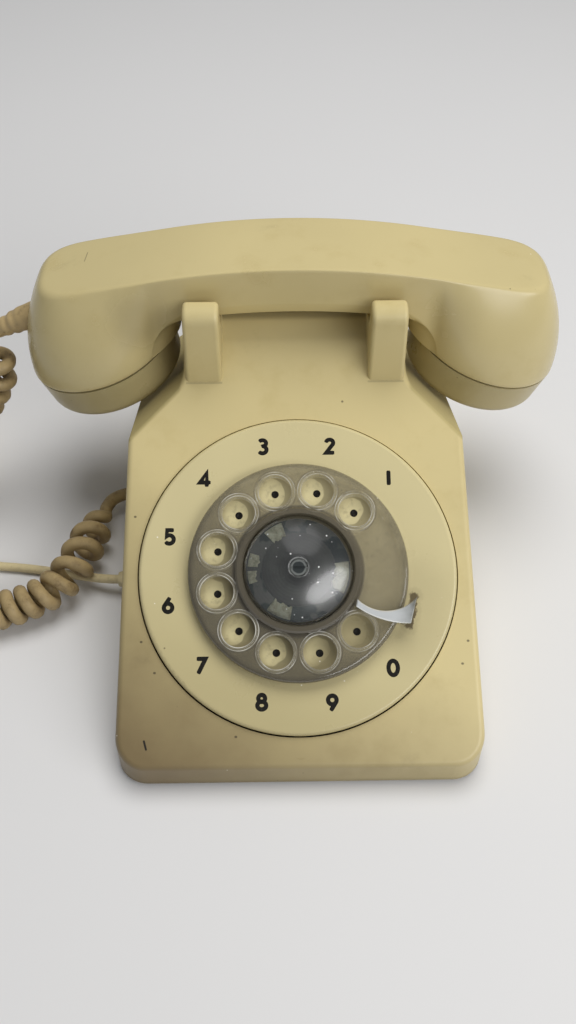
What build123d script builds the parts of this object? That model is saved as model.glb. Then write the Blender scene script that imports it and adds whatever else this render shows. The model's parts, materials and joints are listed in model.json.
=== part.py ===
from build123d import *
import math
import os

# A rotary desk telephone as separate pieces in one frame.
# X runs to the right, Y to the back and Z up, with the table at Z = 0.

# Housing dimensions, in millimetres and degrees
BASE_WIDTH = 136.0
BASE_DEPTH = 212.0
CORNER_RADIUS = 12.0
WALL = 3.0
WALL_DRAFT = 2.5
RIM_HEIGHT = 2.0
FACE_TILT = 27.0
FACE_FRONT_Y = -105.0
FACE_FRONT_Z = 14.0
CRADLE_TOP = 93.5
CRADLE_BACK_Y = 88.0
EAR_INNER_X = 28.6
EAR_OUTER_X = 42.0
EAR_DRAFT = 1.6
EAR_TOP = 111.8
EAR_FRONT_Y = 25.0
SADDLE_TOP = 97.8
EDGE_RADIUS = 2.5

# The hip plane passes through three points read off the photograph, here for the right side
HIP_FRONT = Vector(64.5, 4.5, 69.7)
HIP_TOP = Vector(44.0, 24.0, 79.6)
HIP_BACK = Vector(65.5, 42.3, 53.5)

# Base plate, feet and cord entries
PLATE_BOTTOM = 3.0
PLATE_TOP = 4.5
FOOT_X = 52.0
FOOT_Y = 86.0
BOSS_FRONT_Y = -98.5
BOSS_BACK_Y = 96.0
LINE_ENTRY = Vector(-67.8, -18.5, 8.0)
HANDSET_ENTRY = Vector(-67.7, 28.0, 10.0)
VOLUME_X = 50.0
VOLUME_Y = 48.0

# Dial
DIAL_Y = -42.7
NUMBER_PLATE_RADIUS = 59.6
DIAL_HOLE_RADIUS = 60.2
WHEEL_RADIUS = 41.0
FINGER_CIRCLE = 31.0
FINGER_HOLE_RADIUS = 6.2
FIRST_HOLE_ANGLE = 46.0
HOLE_PITCH = 29.75
DOME_RADIUS = 20.0
DOME_TOP = 14.0
DOME_RISE = 6.0
CARD_RADIUS = 18.7
STOP_ANGLE = -23.5
STOP_LEG_CIRCLE = 43.0
STOP_LEG = 1.8
STOP_WIDTH = 5.6
SHAFT_RADIUS = 4.0
RUNNING_GAP = 0.06
GEAR_MODULE = 0.5
MAIN_TEETH = 72
PINION_TEETH = 12
PULSE_TEETH = 48
GOVERNOR_ANGLE = -20.0

# Hook switch and ringer
PLUNGER_X = 36.0
HANDSET_Y = 56.0
HOOK_PIVOT_Y = 28.0
HOOK_PIVOT_Z = 66.0
HOOK_ROD_Z = 78.0
GONG_X = 40.0
GONG_YS = (22.0, 74.0)
GONG_RADIUS = 20.0
CLAPPER_X = 14.0
CLAPPER_Y = 48.0

# Handset
HANDLE_WIDTH = 34.0
HANDLE_TOP = 122.0
HANDLE_BOTTOM = 101.5
SEAM_X = 79.8
SEAM_Z = 76.1
SEAM_TILT = 15.0
CUP_RADIUS = 31.0
CAP_RADIUS = 30.8
CAP_DEPTH = 16.9
SEAM_GAP = 0.8
BAR_END = 95.7
BAR_CORNER = 13.0
BOOT_LENGTH = 15.0

# Cords
CURL_WIRE = 5.0
CURL_RADIUS = 5.6
CURL_PITCH = 7.6
CURL_LEAD = 18.0
CURL_TAIL = 13.0
LINE_WIRE = 3.8
COIL_CENTRE = Vector(-180.0, 62.0, 0.0)
COIL_INNER = 14.6
COIL_STEP = 4.5
COIL_LAYER_TURNS = 2.75
COIL_LAYERS = 4
COIL_FLOOR = 3.2

os.makedirs("parts", exist_ok=True)


def keep(piece, name):
    """Label a finished piece and write it as its own STEP file."""
    piece.label = name
    export_step(piece, f"parts/{name}.step")


def face_height(y):
    """Height of the sloping face above the table at depth y."""
    return FACE_FRONT_Z + (y - FACE_FRONT_Y) * math.tan(math.radians(FACE_TILT))


# Dial frame: u is X, v climbs the face, w is the outward normal
face_sin = math.sin(math.radians(FACE_TILT))
face_cos = math.cos(math.radians(FACE_TILT))
dial_centre = Vector(0, DIAL_Y, face_height(DIAL_Y))
dial_normal = Vector(0, -face_sin, face_cos)
dial_plane = Plane(origin=dial_centre, x_dir=(1, 0, 0), z_dir=dial_normal)
dial_section = Plane(origin=dial_centre, x_dir=(1, 0, 0), z_dir=(0, -face_cos, -face_sin))
dial_axis = Axis(dial_centre, dial_normal)


def hip_plane(side, inset):
    """Plane across the edge where the hip meets the cradle wall, drawn in by inset."""
    back = (HIP_BACK - HIP_FRONT).cross(HIP_TOP - HIP_FRONT)
    normal = Vector(abs(back.X), abs(back.Y), abs(back.Z)).normalized()
    edge_dir = Vector(0, normal.Z, -normal.Y).normalized()
    down = edge_dir.cross(Vector(1, 0, 0))
    across = Vector(normal.X, 0, 0) + down * normal.dot(down)
    fall = Vector(-across.dot(down), normal.X, 0)
    top = Vector(side * (HIP_TOP.X - inset), HIP_TOP.Y, HIP_TOP.Z)
    drop = inset / abs(normal.dot(down))
    shift = inset * normal.X / abs(normal.dot(down))
    origin = top + down * (drop - shift)
    return Plane(origin=origin, x_dir=(1, 0, 0), z_dir=edge_dir), fall.normalized()


def hip_outline(side, inset):
    """Corners of the space above the hip, in the plane that hip_plane gives."""
    fall = hip_plane(side, inset)[1]
    far_x = side * 70 * fall.X
    return [(0, 0), (far_x, 70 * fall.Y), (far_x, -90), (0, -90)]


def side_outline(inset):
    """Side view of the housing, drawn in by inset, as points of Y and Z."""
    drop = inset / face_cos
    top = CRADLE_TOP - inset
    crest = FACE_FRONT_Y + (top + drop - FACE_FRONT_Z) / math.tan(math.radians(FACE_TILT))
    return [
        (-125, 0),
        (-125, face_height(-125) - drop),
        (crest, top),
        (CRADLE_BACK_Y - inset, top),
        (106.5 - inset, 10),
        (106.5 - inset, 0),
    ]


def gear_outline(teeth, turn, centre=(0, 0)):
    """Corners of a spur gear with straight flanks, one tooth centred on the angle turn."""
    pitch_radius = teeth * GEAR_MODULE / 2
    tip = pitch_radius + 0.8 * GEAR_MODULE
    root = pitch_radius - 1.05 * GEAR_MODULE
    step = 2 * math.pi / teeth
    corners = []
    for tooth in range(teeth):
        middle = math.radians(turn) + tooth * step
        for share, radius in ((-0.29, root), (-0.09, tip), (0.09, tip), (0.29, root)):
            angle = middle + share * step
            corners.append((centre[0] + radius * math.cos(angle), centre[1] + radius * math.sin(angle)))
    return corners


# Cradle ear, a U that holds the handle, drawn once and used on both sides
with BuildPart() as ear:
    with BuildSketch(Plane.YZ.offset(EAR_INNER_X)) as ear_side:
        with BuildLine():
            Polyline(
                (EAR_FRONT_Y - 0.8, 62),
                (EAR_FRONT_Y + 1.2, EAR_TOP),
                (35.5, EAR_TOP),
                (37.0, SADDLE_TOP),
                (75.0, SADDLE_TOP),
                (76.5, EAR_TOP),
                (85.5, EAR_TOP),
                (CRADLE_BACK_Y - 1.2, 62),
                close=True,
            )
        make_face()
        tops = ear_side.vertices().filter_by(lambda v: v.Y > EAR_TOP - 1).sort_by(Axis.X)
        fillet([tops[0], tops[-1]], radius=5.5)
        tops = ear_side.vertices().filter_by(lambda v: v.Y > EAR_TOP - 1).sort_by(Axis.X)
        fillet(tops.filter_by(lambda v: v.X in (35.5, 76.5)), radius=2.5)
    extrude(amount=20)
    with BuildSketch(Plane.XZ):
        with BuildLine():
            Polyline(
                (EAR_INNER_X, 60),
                (EAR_OUTER_X + (EAR_TOP - 60) * math.tan(math.radians(EAR_DRAFT)), 60),
                (EAR_OUTER_X - math.tan(math.radians(EAR_DRAFT)), EAR_TOP + 1),
                (EAR_INNER_X, EAR_TOP + 1),
                close=True,
            )
        make_face()
    extrude(amount=-120, mode=Mode.INTERSECT)
    rims = ear.edges().filter_by(lambda e: abs(e.tangent_at(0.5).X) < 0.1)
    rims = rims.filter_by(lambda e: e.center().Z > 80 and abs(e.center().Z - SADDLE_TOP) > 0.5)
    fillet(rims, radius=1.6)

# Hollow of the housing
with BuildPart() as hollow:
    with BuildSketch(Plane.XY.offset(RIM_HEIGHT - 1)):
        RectangleRounded(BASE_WIDTH - 2 * WALL, BASE_DEPTH - 2 * WALL, CORNER_RADIUS - WALL)
    extrude(amount=112, taper=WALL_DRAFT)
    with BuildSketch(Plane.YZ):
        with BuildLine():
            Polyline(*side_outline(WALL), close=True)
        make_face()
    extrude(amount=100, both=True, mode=Mode.INTERSECT)
    for side in (1, -1):
        with BuildSketch(hip_plane(side, WALL)[0]):
            with BuildLine():
                Polyline(*hip_outline(side, WALL), close=True)
            make_face()
        extrude(amount=130, both=True, mode=Mode.SUBTRACT)

with BuildPart() as housing:
    with BuildSketch(Plane.XY.offset(RIM_HEIGHT)):
        RectangleRounded(BASE_WIDTH, BASE_DEPTH, CORNER_RADIUS)
    extrude(amount=112, taper=WALL_DRAFT)
    with BuildSketch(Plane.YZ):
        with BuildLine():
            Polyline(*side_outline(0), close=True)
        make_face()
    extrude(amount=100, both=True, mode=Mode.INTERSECT)
    for side in (1, -1):
        with BuildSketch(hip_plane(side, 0)[0]) as hip_side:
            with BuildLine():
                Polyline(*hip_outline(side, 0), close=True)
            make_face()
            corner = hip_side.vertices().sort_by_distance((0, 0, 0))[0]
            fillet(corner, radius=8)
        extrude(amount=130, both=True, mode=Mode.SUBTRACT)
    outer_edges = housing.edges().filter_by(lambda e: e.bounding_box().max.Z > RIM_HEIGHT + 1)
    sharp = outer_edges.filter_by(lambda e: e.bounding_box().min.Z > RIM_HEIGHT + 1)
    fillet(sharp, radius=EDGE_RADIUS)
    add(ear.part)
    add(mirror(ear.part, about=Plane.YZ, mode=Mode.PRIVATE))
    add(hollow.part, mode=Mode.SUBTRACT)
    # Dial opening
    with BuildSketch(dial_plane.offset(-20)):
        Circle(DIAL_HOLE_RADIUS)
    extrude(amount=40, mode=Mode.SUBTRACT)
    # Slots that guide the hook plungers
    with BuildSketch(Plane.XY.offset(84)):
        with Locations((PLUNGER_X, HANDSET_Y), (-PLUNGER_X, HANDSET_Y)):
            Rectangle(7.2, 11.2)
    extrude(amount=20, mode=Mode.SUBTRACT)
    # Notches for the two cords, open at the rim
    for entry, radius in ((LINE_ENTRY, 3.1), (HANDSET_ENTRY, 4.3)):
        with BuildSketch(Plane.YZ.offset(-75)):
            with Locations((entry.Y, entry.Z)):
                Circle(radius)
            with Locations((entry.Y, entry.Z / 2)):
                Rectangle(2 * radius, entry.Z)
        extrude(amount=15, mode=Mode.SUBTRACT)
    # Screw bosses with their pilot holes
    for boss_y, height in ((BOSS_FRONT_Y, 10.4), (BOSS_BACK_Y, 28)):
        with BuildSketch(Plane.XY.offset(PLATE_TOP + 0.3)):
            with Locations((0, boss_y)):
                Circle(4.5)
        extrude(amount=height)
        with BuildSketch(Plane.XY.offset(PLATE_TOP + 0.3)):
            with Locations((0, boss_y)):
                Circle(1.75)
        extrude(amount=8.2, mode=Mode.SUBTRACT)
keep(housing.part, "housing")

with BuildPart() as base_plate:
    with BuildSketch(Plane.XY.offset(PLATE_BOTTOM)):
        RectangleRounded(BASE_WIDTH - 2 * WALL - 1, BASE_DEPTH - 2 * WALL - 1, CORNER_RADIUS - WALL)
        with GridLocations(2 * FOOT_X, 2 * FOOT_Y, 2, 2):
            Circle(2.95, mode=Mode.SUBTRACT)
        with Locations((0, BOSS_FRONT_Y), (0, BOSS_BACK_Y)):
            Circle(2.2, mode=Mode.SUBTRACT)
        with Locations((VOLUME_X, VOLUME_Y)):
            Circle(2.05, mode=Mode.SUBTRACT)
    extrude(amount=PLATE_TOP - PLATE_BOTTOM)
keep(base_plate.part, "base_plate")

foot_names = {
    "foot_front_left": (-FOOT_X, -FOOT_Y),
    "foot_front_right": (FOOT_X, -FOOT_Y),
    "foot_back_left": (-FOOT_X, FOOT_Y),
    "foot_back_right": (FOOT_X, FOOT_Y),
}
for foot_name, (foot_x, foot_y) in foot_names.items():
    with BuildPart() as foot:
        with BuildSketch(Plane.XZ.offset(-foot_y)):
            with BuildLine():
                Polyline(
                    (foot_x, 0),
                    (foot_x + 7.2, 0),
                    (foot_x + 8, 0.8),
                    (foot_x + 8, PLATE_BOTTOM),
                    (foot_x + 2.9, PLATE_BOTTOM),
                    (foot_x + 2.9, PLATE_TOP),
                    (foot_x + 4.2, PLATE_TOP),
                    (foot_x + 3.2, PLATE_TOP + 1.6),
                    (foot_x, PLATE_TOP + 1.6),
                    close=True,
                )
            make_face()
        revolve(axis=Axis((foot_x, foot_y, 0), (0, 0, 1)))
    keep(foot.part, foot_name)

with BuildPart() as housing_screws:
    for boss_y in (BOSS_FRONT_Y, BOSS_BACK_Y):
        with BuildSketch(Plane.XY.offset(PLATE_BOTTOM - 1.9)):
            with Locations((0, boss_y)):
                Circle(3.6)
        extrude(amount=1.9)
        with BuildSketch(Plane.XY.offset(PLATE_BOTTOM)):
            with Locations((0, boss_y)):
                Circle(1.7)
        extrude(amount=8.5)
        with BuildSketch(Plane.XY.offset(PLATE_BOTTOM - 1.9)):
            with Locations((0, boss_y)):
                Rectangle(8, 0.9)
        extrude(amount=0.8, mode=Mode.SUBTRACT)
keep(housing_screws.part, "housing_screws")

# Number plate with its raised rim and the bosses that the dial hangs from
with BuildPart() as number_plate:
    with BuildSketch(dial_section):
        with BuildLine():
            Polyline((9, -1), (57.2, -1), (57.2, -6), (NUMBER_PLATE_RADIUS, -6), (NUMBER_PLATE_RADIUS, 0.6))
            ThreePointArc((NUMBER_PLATE_RADIUS, 0.6), (NUMBER_PLATE_RADIUS - 0.45, 1.6), (57.9, 2.0))
            Polyline((57.9, 2.0), (43.0, 1.2), (9, 1.2), (9, -1))
        make_face()
    revolve(axis=dial_axis)
    with BuildSketch(dial_plane.offset(-6)):
        with PolarLocations(50, 3, start_angle=90):
            Circle(3)
    extrude(amount=5.5)
    with BuildSketch(dial_plane.offset(-6)):
        with PolarLocations(50, 3, start_angle=90):
            Circle(1.25)
    extrude(amount=4.5, mode=Mode.SUBTRACT)
    with BuildSketch(dial_plane.offset(-3)):
        with PolarLocations(STOP_LEG_CIRCLE, 1, start_angle=STOP_ANGLE):
            Rectangle(STOP_LEG + 0.1, STOP_WIDTH + 0.1)
    extrude(amount=8, mode=Mode.SUBTRACT)
keep(number_plate.part, "number_plate")

# Clear finger wheel
finger_angles = [FIRST_HOLE_ANGLE + HOLE_PITCH * hole for hole in range(10)]
finger_points = [
    (FINGER_CIRCLE * math.cos(math.radians(a)), FINGER_CIRCLE * math.sin(math.radians(a)))
    for a in finger_angles
]
with BuildPart() as finger_wheel:
    with BuildSketch(dial_section):
        with BuildLine():
            Polyline((4.3, 3.0), (40.2, 3.0), (WHEEL_RADIUS, 3.8), (WHEEL_RADIUS, 4.8))
            ThreePointArc((WHEEL_RADIUS, 4.8), (40.4, 6.0), (39.2, 6.5))
            Polyline((39.2, 6.5), (23.6, 6.8), (23.3, 8.6), (22.6, 9.2), (21.0, 9.2), (20.5, 8.4), (20.5, 6.2))
            Polyline((20.5, 6.2), (4.3, 6.2), (4.3, 3.0))
        make_face()
    revolve(axis=dial_axis)
    with BuildSketch(dial_plane.offset(6.0)):
        with Locations(*finger_points):
            Circle(FINGER_HOLE_RADIUS + 0.9)
    extrude(amount=1.3)
    lips = finger_wheel.faces().filter_by(lambda f: abs((f.center() - dial_centre).dot(dial_normal) - 7.3) < 0.02)
    fillet(lips.edges(), radius=0.3)
    with BuildSketch(dial_plane.offset(2)):
        with Locations(*finger_points):
            Circle(FINGER_HOLE_RADIUS)
    extrude(amount=8, mode=Mode.SUBTRACT)
keep(finger_wheel.part, "finger_wheel")

with BuildPart() as wheel_hub:
    with BuildSketch(dial_section):
        with BuildLine():
            Polyline(
                (SHAFT_RADIUS, -5.2), (7.6, -5.2), (7.6, 1.9), (16, 1.9), (16, 3.0), (SHAFT_RADIUS, 3.0),
                close=True,
            )
        make_face()
    revolve(axis=dial_axis)
keep(wheel_hub.part, "wheel_hub")

# Plate that holds the number card, under the dome
with BuildPart() as card_plate:
    with BuildSketch(dial_plane.offset(6.2)):
        Circle(CARD_RADIUS)
        Circle(1.6, mode=Mode.SUBTRACT)
    extrude(amount=0.8)
    with BuildSketch(dial_plane.offset(7.0)):
        Circle(CARD_RADIUS - 5.7)
        Circle(1.6, mode=Mode.SUBTRACT)
    extrude(amount=0.4)
keep(card_plate.part, "card_plate")

# Clear dome with a sunk seat for its screw
dome_ball = (DOME_RADIUS**2 + DOME_RISE**2) / (2 * DOME_RISE)
dome_ball_centre = DOME_TOP - dome_ball


def dome_height(radius, ball):
    """Height of the dome over the dial plane at a radius from its axis."""
    return dome_ball_centre + math.sqrt(ball**2 - radius**2)


with BuildPart() as centre_cap:
    with BuildSketch(dial_section):
        with BuildLine():
            inner = dome_ball - 1.2
            outer_top = (3.5, dome_height(3.5, dome_ball))
            outer_edge = (DOME_RADIUS, dome_height(DOME_RADIUS, dome_ball))
            inner_top = (4.7, dome_height(4.7, inner))
            inner_edge = (DOME_RADIUS - 1, dome_height(DOME_RADIUS - 1, inner))
            ThreePointArc(outer_top, (12, dome_height(12, dome_ball)), outer_edge)
            Polyline(outer_edge, (DOME_RADIUS, 6.3), (DOME_RADIUS - 1, 6.3), inner_edge)
            ThreePointArc(inner_edge, (12, dome_height(12, inner)), inner_top)
            Polyline(inner_top, (4.7, 11.2), (1.6, 11.2), (1.6, 12.4), (3.5, 12.4), outer_top)
        make_face()
    revolve(axis=dial_axis)
keep(centre_cap.part, "centre_cap")

with BuildPart() as cap_screw:
    with BuildSketch(dial_plane.offset(12.4)):
        Circle(2.9)
    extrude(amount=1.0)
    with BuildSketch(dial_plane.offset(1.5)):
        Circle(1.5)
    extrude(amount=10.9)
    with BuildSketch(dial_plane.offset(12.9)):
        Rectangle(7, 0.8)
    extrude(amount=1, mode=Mode.SUBTRACT)
keep(cap_screw.part, "cap_screw")

# Finger stop, a curved blade on a leg that drops through the number plate beside the wheel
with BuildPart() as finger_stop:
    with BuildSketch(dial_plane.offset(8.0)):
        with BuildLine():
            ThreePointArc((21.3, -11.3), (32.4, -15.6), (43.0, -10.6))
            Line((43.0, -10.6), (40.4, -20.2))
            ThreePointArc((40.4, -20.2), (30.6, -18.8), (20.7, -13.8))
            Line((20.7, -13.8), (21.3, -11.3))
        make_face()
    extrude(amount=1.6)
    with BuildSketch(dial_plane.offset(-4)):
        with PolarLocations(STOP_LEG_CIRCLE, 1, start_angle=STOP_ANGLE):
            Rectangle(STOP_LEG, STOP_WIDTH)
    extrude(amount=13)
    top_edges = finger_stop.edges().filter_by(
        lambda e: abs((e.center() - dial_centre).dot(dial_normal) - 9.6) < 0.05
    )
    chamfer(top_edges, length=0.35)
keep(finger_stop.part, "finger_stop")

# Dial movement
GEAR_FACE = 1.6
pulse_distance = (MAIN_TEETH + PINION_TEETH) * GEAR_MODULE / 2
governor_distance = (PULSE_TEETH + PINION_TEETH) * GEAR_MODULE / 2
pulse_uv = (0, pulse_distance)
governor_uv = (
    governor_distance * math.cos(math.radians(GOVERNOR_ANGLE)),
    pulse_distance + governor_distance * math.sin(math.radians(GOVERNOR_ANGLE)),
)
post_points = [(31 * math.cos(math.radians(a)), 31 * math.sin(math.radians(a))) for a in (130, 200, 320)]

with BuildPart() as dial_frame:
    with BuildSketch(dial_plane.offset(-8)):
        Circle(36)
        Rectangle(104, 14)
        with PolarLocations(27, 3, start_angle=90):
            Rectangle(58, 12)
        Circle(SHAFT_RADIUS + RUNNING_GAP, mode=Mode.SUBTRACT)
        with Locations(pulse_uv, governor_uv):
            Circle(1.2 + RUNNING_GAP, mode=Mode.SUBTRACT)
        with PolarLocations(50, 3, start_angle=90):
            Circle(1.5, mode=Mode.SUBTRACT)
    extrude(amount=2)
keep(dial_frame.part, "dial_frame")

with BuildPart() as dial_rear_plate:
    with BuildSketch(dial_plane.offset(-24)):
        Circle(34.5)
        Circle(SHAFT_RADIUS + RUNNING_GAP, mode=Mode.SUBTRACT)
        with Locations(pulse_uv, governor_uv):
            Circle(1.2 + RUNNING_GAP, mode=Mode.SUBTRACT)
    extrude(amount=1.8)
keep(dial_rear_plate.part, "dial_rear_plate")

with BuildPart() as dial_posts:
    with BuildSketch(dial_plane.offset(-22.2)):
        with Locations(*post_points):
            Circle(2.5)
    extrude(amount=14.2)
keep(dial_posts.part, "dial_posts")

with BuildPart() as dial_screws:
    with BuildSketch(dial_plane.offset(-9.8)):
        with PolarLocations(50, 3, start_angle=90):
            Circle(2.8)
    extrude(amount=1.8)
    with BuildSketch(dial_plane.offset(-8)):
        with PolarLocations(50, 3, start_angle=90):
            Circle(1.2)
    extrude(amount=6)
keep(dial_screws.part, "dial_screws")

with BuildPart() as main_shaft:
    with BuildSketch(dial_plane.offset(-25.5)):
        Circle(SHAFT_RADIUS)
    extrude(amount=31.5)
    with BuildSketch(dial_plane.offset(0)):
        Circle(1.55)
    extrude(amount=8, mode=Mode.SUBTRACT)
keep(main_shaft.part, "main_shaft")

with BuildPart() as main_gear:
    with BuildSketch(dial_plane.offset(-11)):
        with BuildLine():
            Polyline(*gear_outline(MAIN_TEETH, 90), close=True)
        make_face()
        Circle(SHAFT_RADIUS, mode=Mode.SUBTRACT)
        with PolarLocations(11, 5):
            Circle(3.2, mode=Mode.SUBTRACT)
    extrude(amount=GEAR_FACE)
keep(main_gear.part, "main_gear")

with BuildPart() as mainspring_barrel:
    with BuildSketch(dial_plane.offset(-20.5)):
        Circle(7.4)
        Circle(SHAFT_RADIUS, mode=Mode.SUBTRACT)
    extrude(amount=8)
keep(mainspring_barrel.part, "mainspring_barrel")

with BuildPart() as pulse_shaft:
    with BuildSketch(dial_plane.offset(-25)):
        with Locations(pulse_uv):
            Circle(1.2)
    extrude(amount=19.5)
    with BuildSketch(dial_plane.offset(-11.2)):
        with BuildLine():
            Polyline(*gear_outline(PINION_TEETH, 270 + 180 / PINION_TEETH, pulse_uv), close=True)
        make_face()
    extrude(amount=GEAR_FACE + 0.4)
keep(pulse_shaft.part, "pulse_shaft")

with BuildPart() as pulse_gear:
    with BuildSketch(dial_plane.offset(-15)):
        with BuildLine():
            Polyline(*gear_outline(PULSE_TEETH, GOVERNOR_ANGLE, pulse_uv), close=True)
        make_face()
        with Locations(pulse_uv):
            Circle(1.2, mode=Mode.SUBTRACT)
    extrude(amount=GEAR_FACE)
keep(pulse_gear.part, "pulse_gear")

# Two lobes open the contacts twice a turn, once for each thirty degrees of the wheel
with BuildPart() as pulse_cam:
    with BuildSketch(dial_plane.offset(-19.5)):
        with Locations(pulse_uv):
            Ellipse(4.6, 3.2)
            Circle(1.2, mode=Mode.SUBTRACT)
    extrude(amount=2.5)
keep(pulse_cam.part, "pulse_cam")

with BuildPart() as governor_shaft:
    with BuildSketch(dial_plane.offset(-31)):
        with Locations(governor_uv):
            Circle(1.2)
    extrude(amount=25.5)
    with BuildSketch(dial_plane.offset(-15.2)):
        with BuildLine():
            governor_turn = GOVERNOR_ANGLE + 180 + 180 / PINION_TEETH
            Polyline(*gear_outline(PINION_TEETH, governor_turn, governor_uv), close=True)
        make_face()
    extrude(amount=GEAR_FACE + 0.4)
keep(governor_shaft.part, "governor_shaft")

with BuildPart() as governor_weights:
    with BuildSketch(dial_plane.offset(-30)):
        with Locations(governor_uv):
            Rectangle(12, 3.4)
            with PolarLocations(5.6, 2):
                Rectangle(2.6, 7)
            Circle(1.2, mode=Mode.SUBTRACT)
    extrude(amount=4)
keep(governor_weights.part, "governor_weights")

with BuildPart() as governor_cup:
    with BuildSketch(dial_plane.offset(-32.5)):
        with Locations(governor_uv):
            Circle(9.6)
            Circle(8.4, mode=Mode.SUBTRACT)
    extrude(amount=8.5)
keep(governor_cup.part, "governor_cup")

with BuildPart() as contact_block:
    with BuildSketch(dial_plane.offset(-22.2)):
        with Locations((-9, 10)):
            Rectangle(7, 5)
    extrude(amount=6)
keep(contact_block.part, "contact_block")

with BuildPart() as pulse_contacts:
    with BuildSketch(dial_plane.offset(-20)):
        with Locations((-8.4, 18.5), (-10.4, 18.5)):
            Rectangle(0.4, 12)
    extrude(amount=3)
keep(pulse_contacts.part, "pulse_contacts")

# Brackets that carry the dial on the base plate
for bracket_name, bracket_side in (("dial_bracket_left", -1), ("dial_bracket_right", 1)):
    with BuildPart() as dial_bracket:
        with BuildSketch(Plane.YZ.offset(bracket_side * 44 - 6)):
            tab_start = dial_plane.from_local_coords(Vector(0, -6, -8.1))
            tab_end = dial_plane.from_local_coords(Vector(0, 6, -8.1))
            low_end = dial_plane.from_local_coords(Vector(0, 6, -9.6))
            low_start = dial_plane.from_local_coords(Vector(0, -6, -9.6))
            with BuildLine():
                Polyline(
                    (tab_start.Y, tab_start.Z),
                    (tab_end.Y, tab_end.Z),
                    (low_end.Y, low_end.Z),
                    (low_start.Y + 1.6, low_start.Z + 1.6 * face_sin / face_cos),
                    (low_start.Y + 1.6, PLATE_TOP + 1.5),
                    (low_start.Y + 18, PLATE_TOP + 1.5),
                    (low_start.Y + 18, PLATE_TOP),
                    (low_start.Y, PLATE_TOP),
                    (low_start.Y, low_start.Z),
                    close=True,
                )
            make_face()
        extrude(amount=12)
    keep(dial_bracket.part, bracket_name)

# Hook switch
for plunger_name, plunger_side in (("plunger_left", -1), ("plunger_right", 1)):
    with BuildPart() as plunger:
        with BuildSketch(Plane.XY.offset(79.8)):
            with Locations((plunger_side * PLUNGER_X, HANDSET_Y)):
                Rectangle(6.9, 14)
        extrude(amount=2.4)
        with BuildSketch(Plane.XY.offset(82.2)):
            with Locations((plunger_side * PLUNGER_X, HANDSET_Y)):
                Rectangle(6.6, 10.6)
        extrude(amount=16.6)
        fillet(plunger.faces().sort_by(Axis.Z)[-1].edges(), radius=1.2)
    keep(plunger.part, plunger_name)

with BuildPart() as hook_bracket:
    with BuildSketch(Plane.YZ.offset(-17)):
        with BuildLine():
            Polyline((22, PLATE_TOP), (36, PLATE_TOP), (36, 10), (33, 18), (33, 71), (22, 71), close=True)
        make_face()
        with Locations((HOOK_PIVOT_Y, HOOK_PIVOT_Z)):
            Circle(2, mode=Mode.SUBTRACT)
    extrude(amount=34)
    with BuildSketch(Plane.YZ.offset(-15.4)):
        with BuildLine():
            Polyline((23.6, 6.1), (60, 6.1), (60, 80), (23.6, 80), close=True)
        make_face()
    extrude(amount=30.8, mode=Mode.SUBTRACT)
    with BuildSketch(Plane.XZ.offset(-30)):
        with Locations((0, 63)):
            Rectangle(30.8, 30)
    extrude(amount=20, mode=Mode.SUBTRACT)
keep(hook_bracket.part, "hook_bracket")

with BuildPart() as hook_pivot:
    with BuildSketch(Plane.YZ.offset(-17.6)):
        with Locations((HOOK_PIVOT_Y, HOOK_PIVOT_Z)):
            Circle(2)
    extrude(amount=35.2)
keep(hook_pivot.part, "hook_pivot")

with BuildPart() as hook_lever:
    with BuildSketch(Plane.YZ.offset(-14.6)):
        with Locations((HOOK_PIVOT_Y, HOOK_PIVOT_Z)):
            Circle(3.6)
    extrude(amount=29.2)
    for arm_x in (-14, 11):
        with BuildSketch(Plane.YZ.offset(arm_x)):
            with BuildLine():
                Polyline((28, 63), (57, 76.8), (56, 79.2), (27, 69), close=True)
            make_face()
        extrude(amount=3)
    with BuildSketch(Plane.YZ.offset(-40)):
        with Locations((HANDSET_Y, HOOK_ROD_Z)):
            Circle(1.5)
    extrude(amount=80)
    with BuildSketch(Plane.YZ.offset(-2)):
        with BuildLine():
            Polyline((28, 63), (38.5, 53.5), (40.5, 54.5), (31, 66), close=True)
        make_face()
    extrude(amount=4)
    with BuildSketch(Plane.YZ.offset(-14.6)):
        with Locations((HOOK_PIVOT_Y, HOOK_PIVOT_Z)):
            Circle(2 + RUNNING_GAP)
    extrude(amount=29.2, mode=Mode.SUBTRACT)
keep(hook_lever.part, "hook_lever")

with BuildPart() as hook_contacts:
    with BuildSketch(Plane.XY.offset(36)):
        with Locations((0, 28)):
            Rectangle(14, 8.8)
    extrude(amount=11)
    for leaf_z in (38, 41, 44):
        with BuildSketch(Plane.XY.offset(leaf_z)):
            with Locations((0, 40)):
                Rectangle(6, 24)
        extrude(amount=0.5)
keep(hook_contacts.part, "hook_contacts")

# Ringer
with BuildPart() as ringer_frame:
    with BuildSketch(Plane.XY.offset(PLATE_TOP)):
        with Locations((17, CLAPPER_Y)):
            Rectangle(58, 18)
        with Locations((GONG_X, CLAPPER_Y)):
            Rectangle(12, 64)
    extrude(amount=1.8)
    for gong_y in GONG_YS:
        with BuildSketch(Plane.XY.offset(PLATE_TOP + 1.8)):
            with Locations((GONG_X, gong_y)):
                Circle(3.2)
        extrude(amount=14.5)
        with BuildSketch(Plane.XY.offset(10)):
            with Locations((GONG_X, gong_y)):
                Circle(1.75)
        extrude(amount=12, mode=Mode.SUBTRACT)
    with BuildSketch(Plane.XY.offset(PLATE_TOP + 1.8)):
        with Locations((CLAPPER_X, CLAPPER_Y)):
            Circle(1.5)
    extrude(amount=13)
keep(ringer_frame.part, "ringer_frame")

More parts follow.
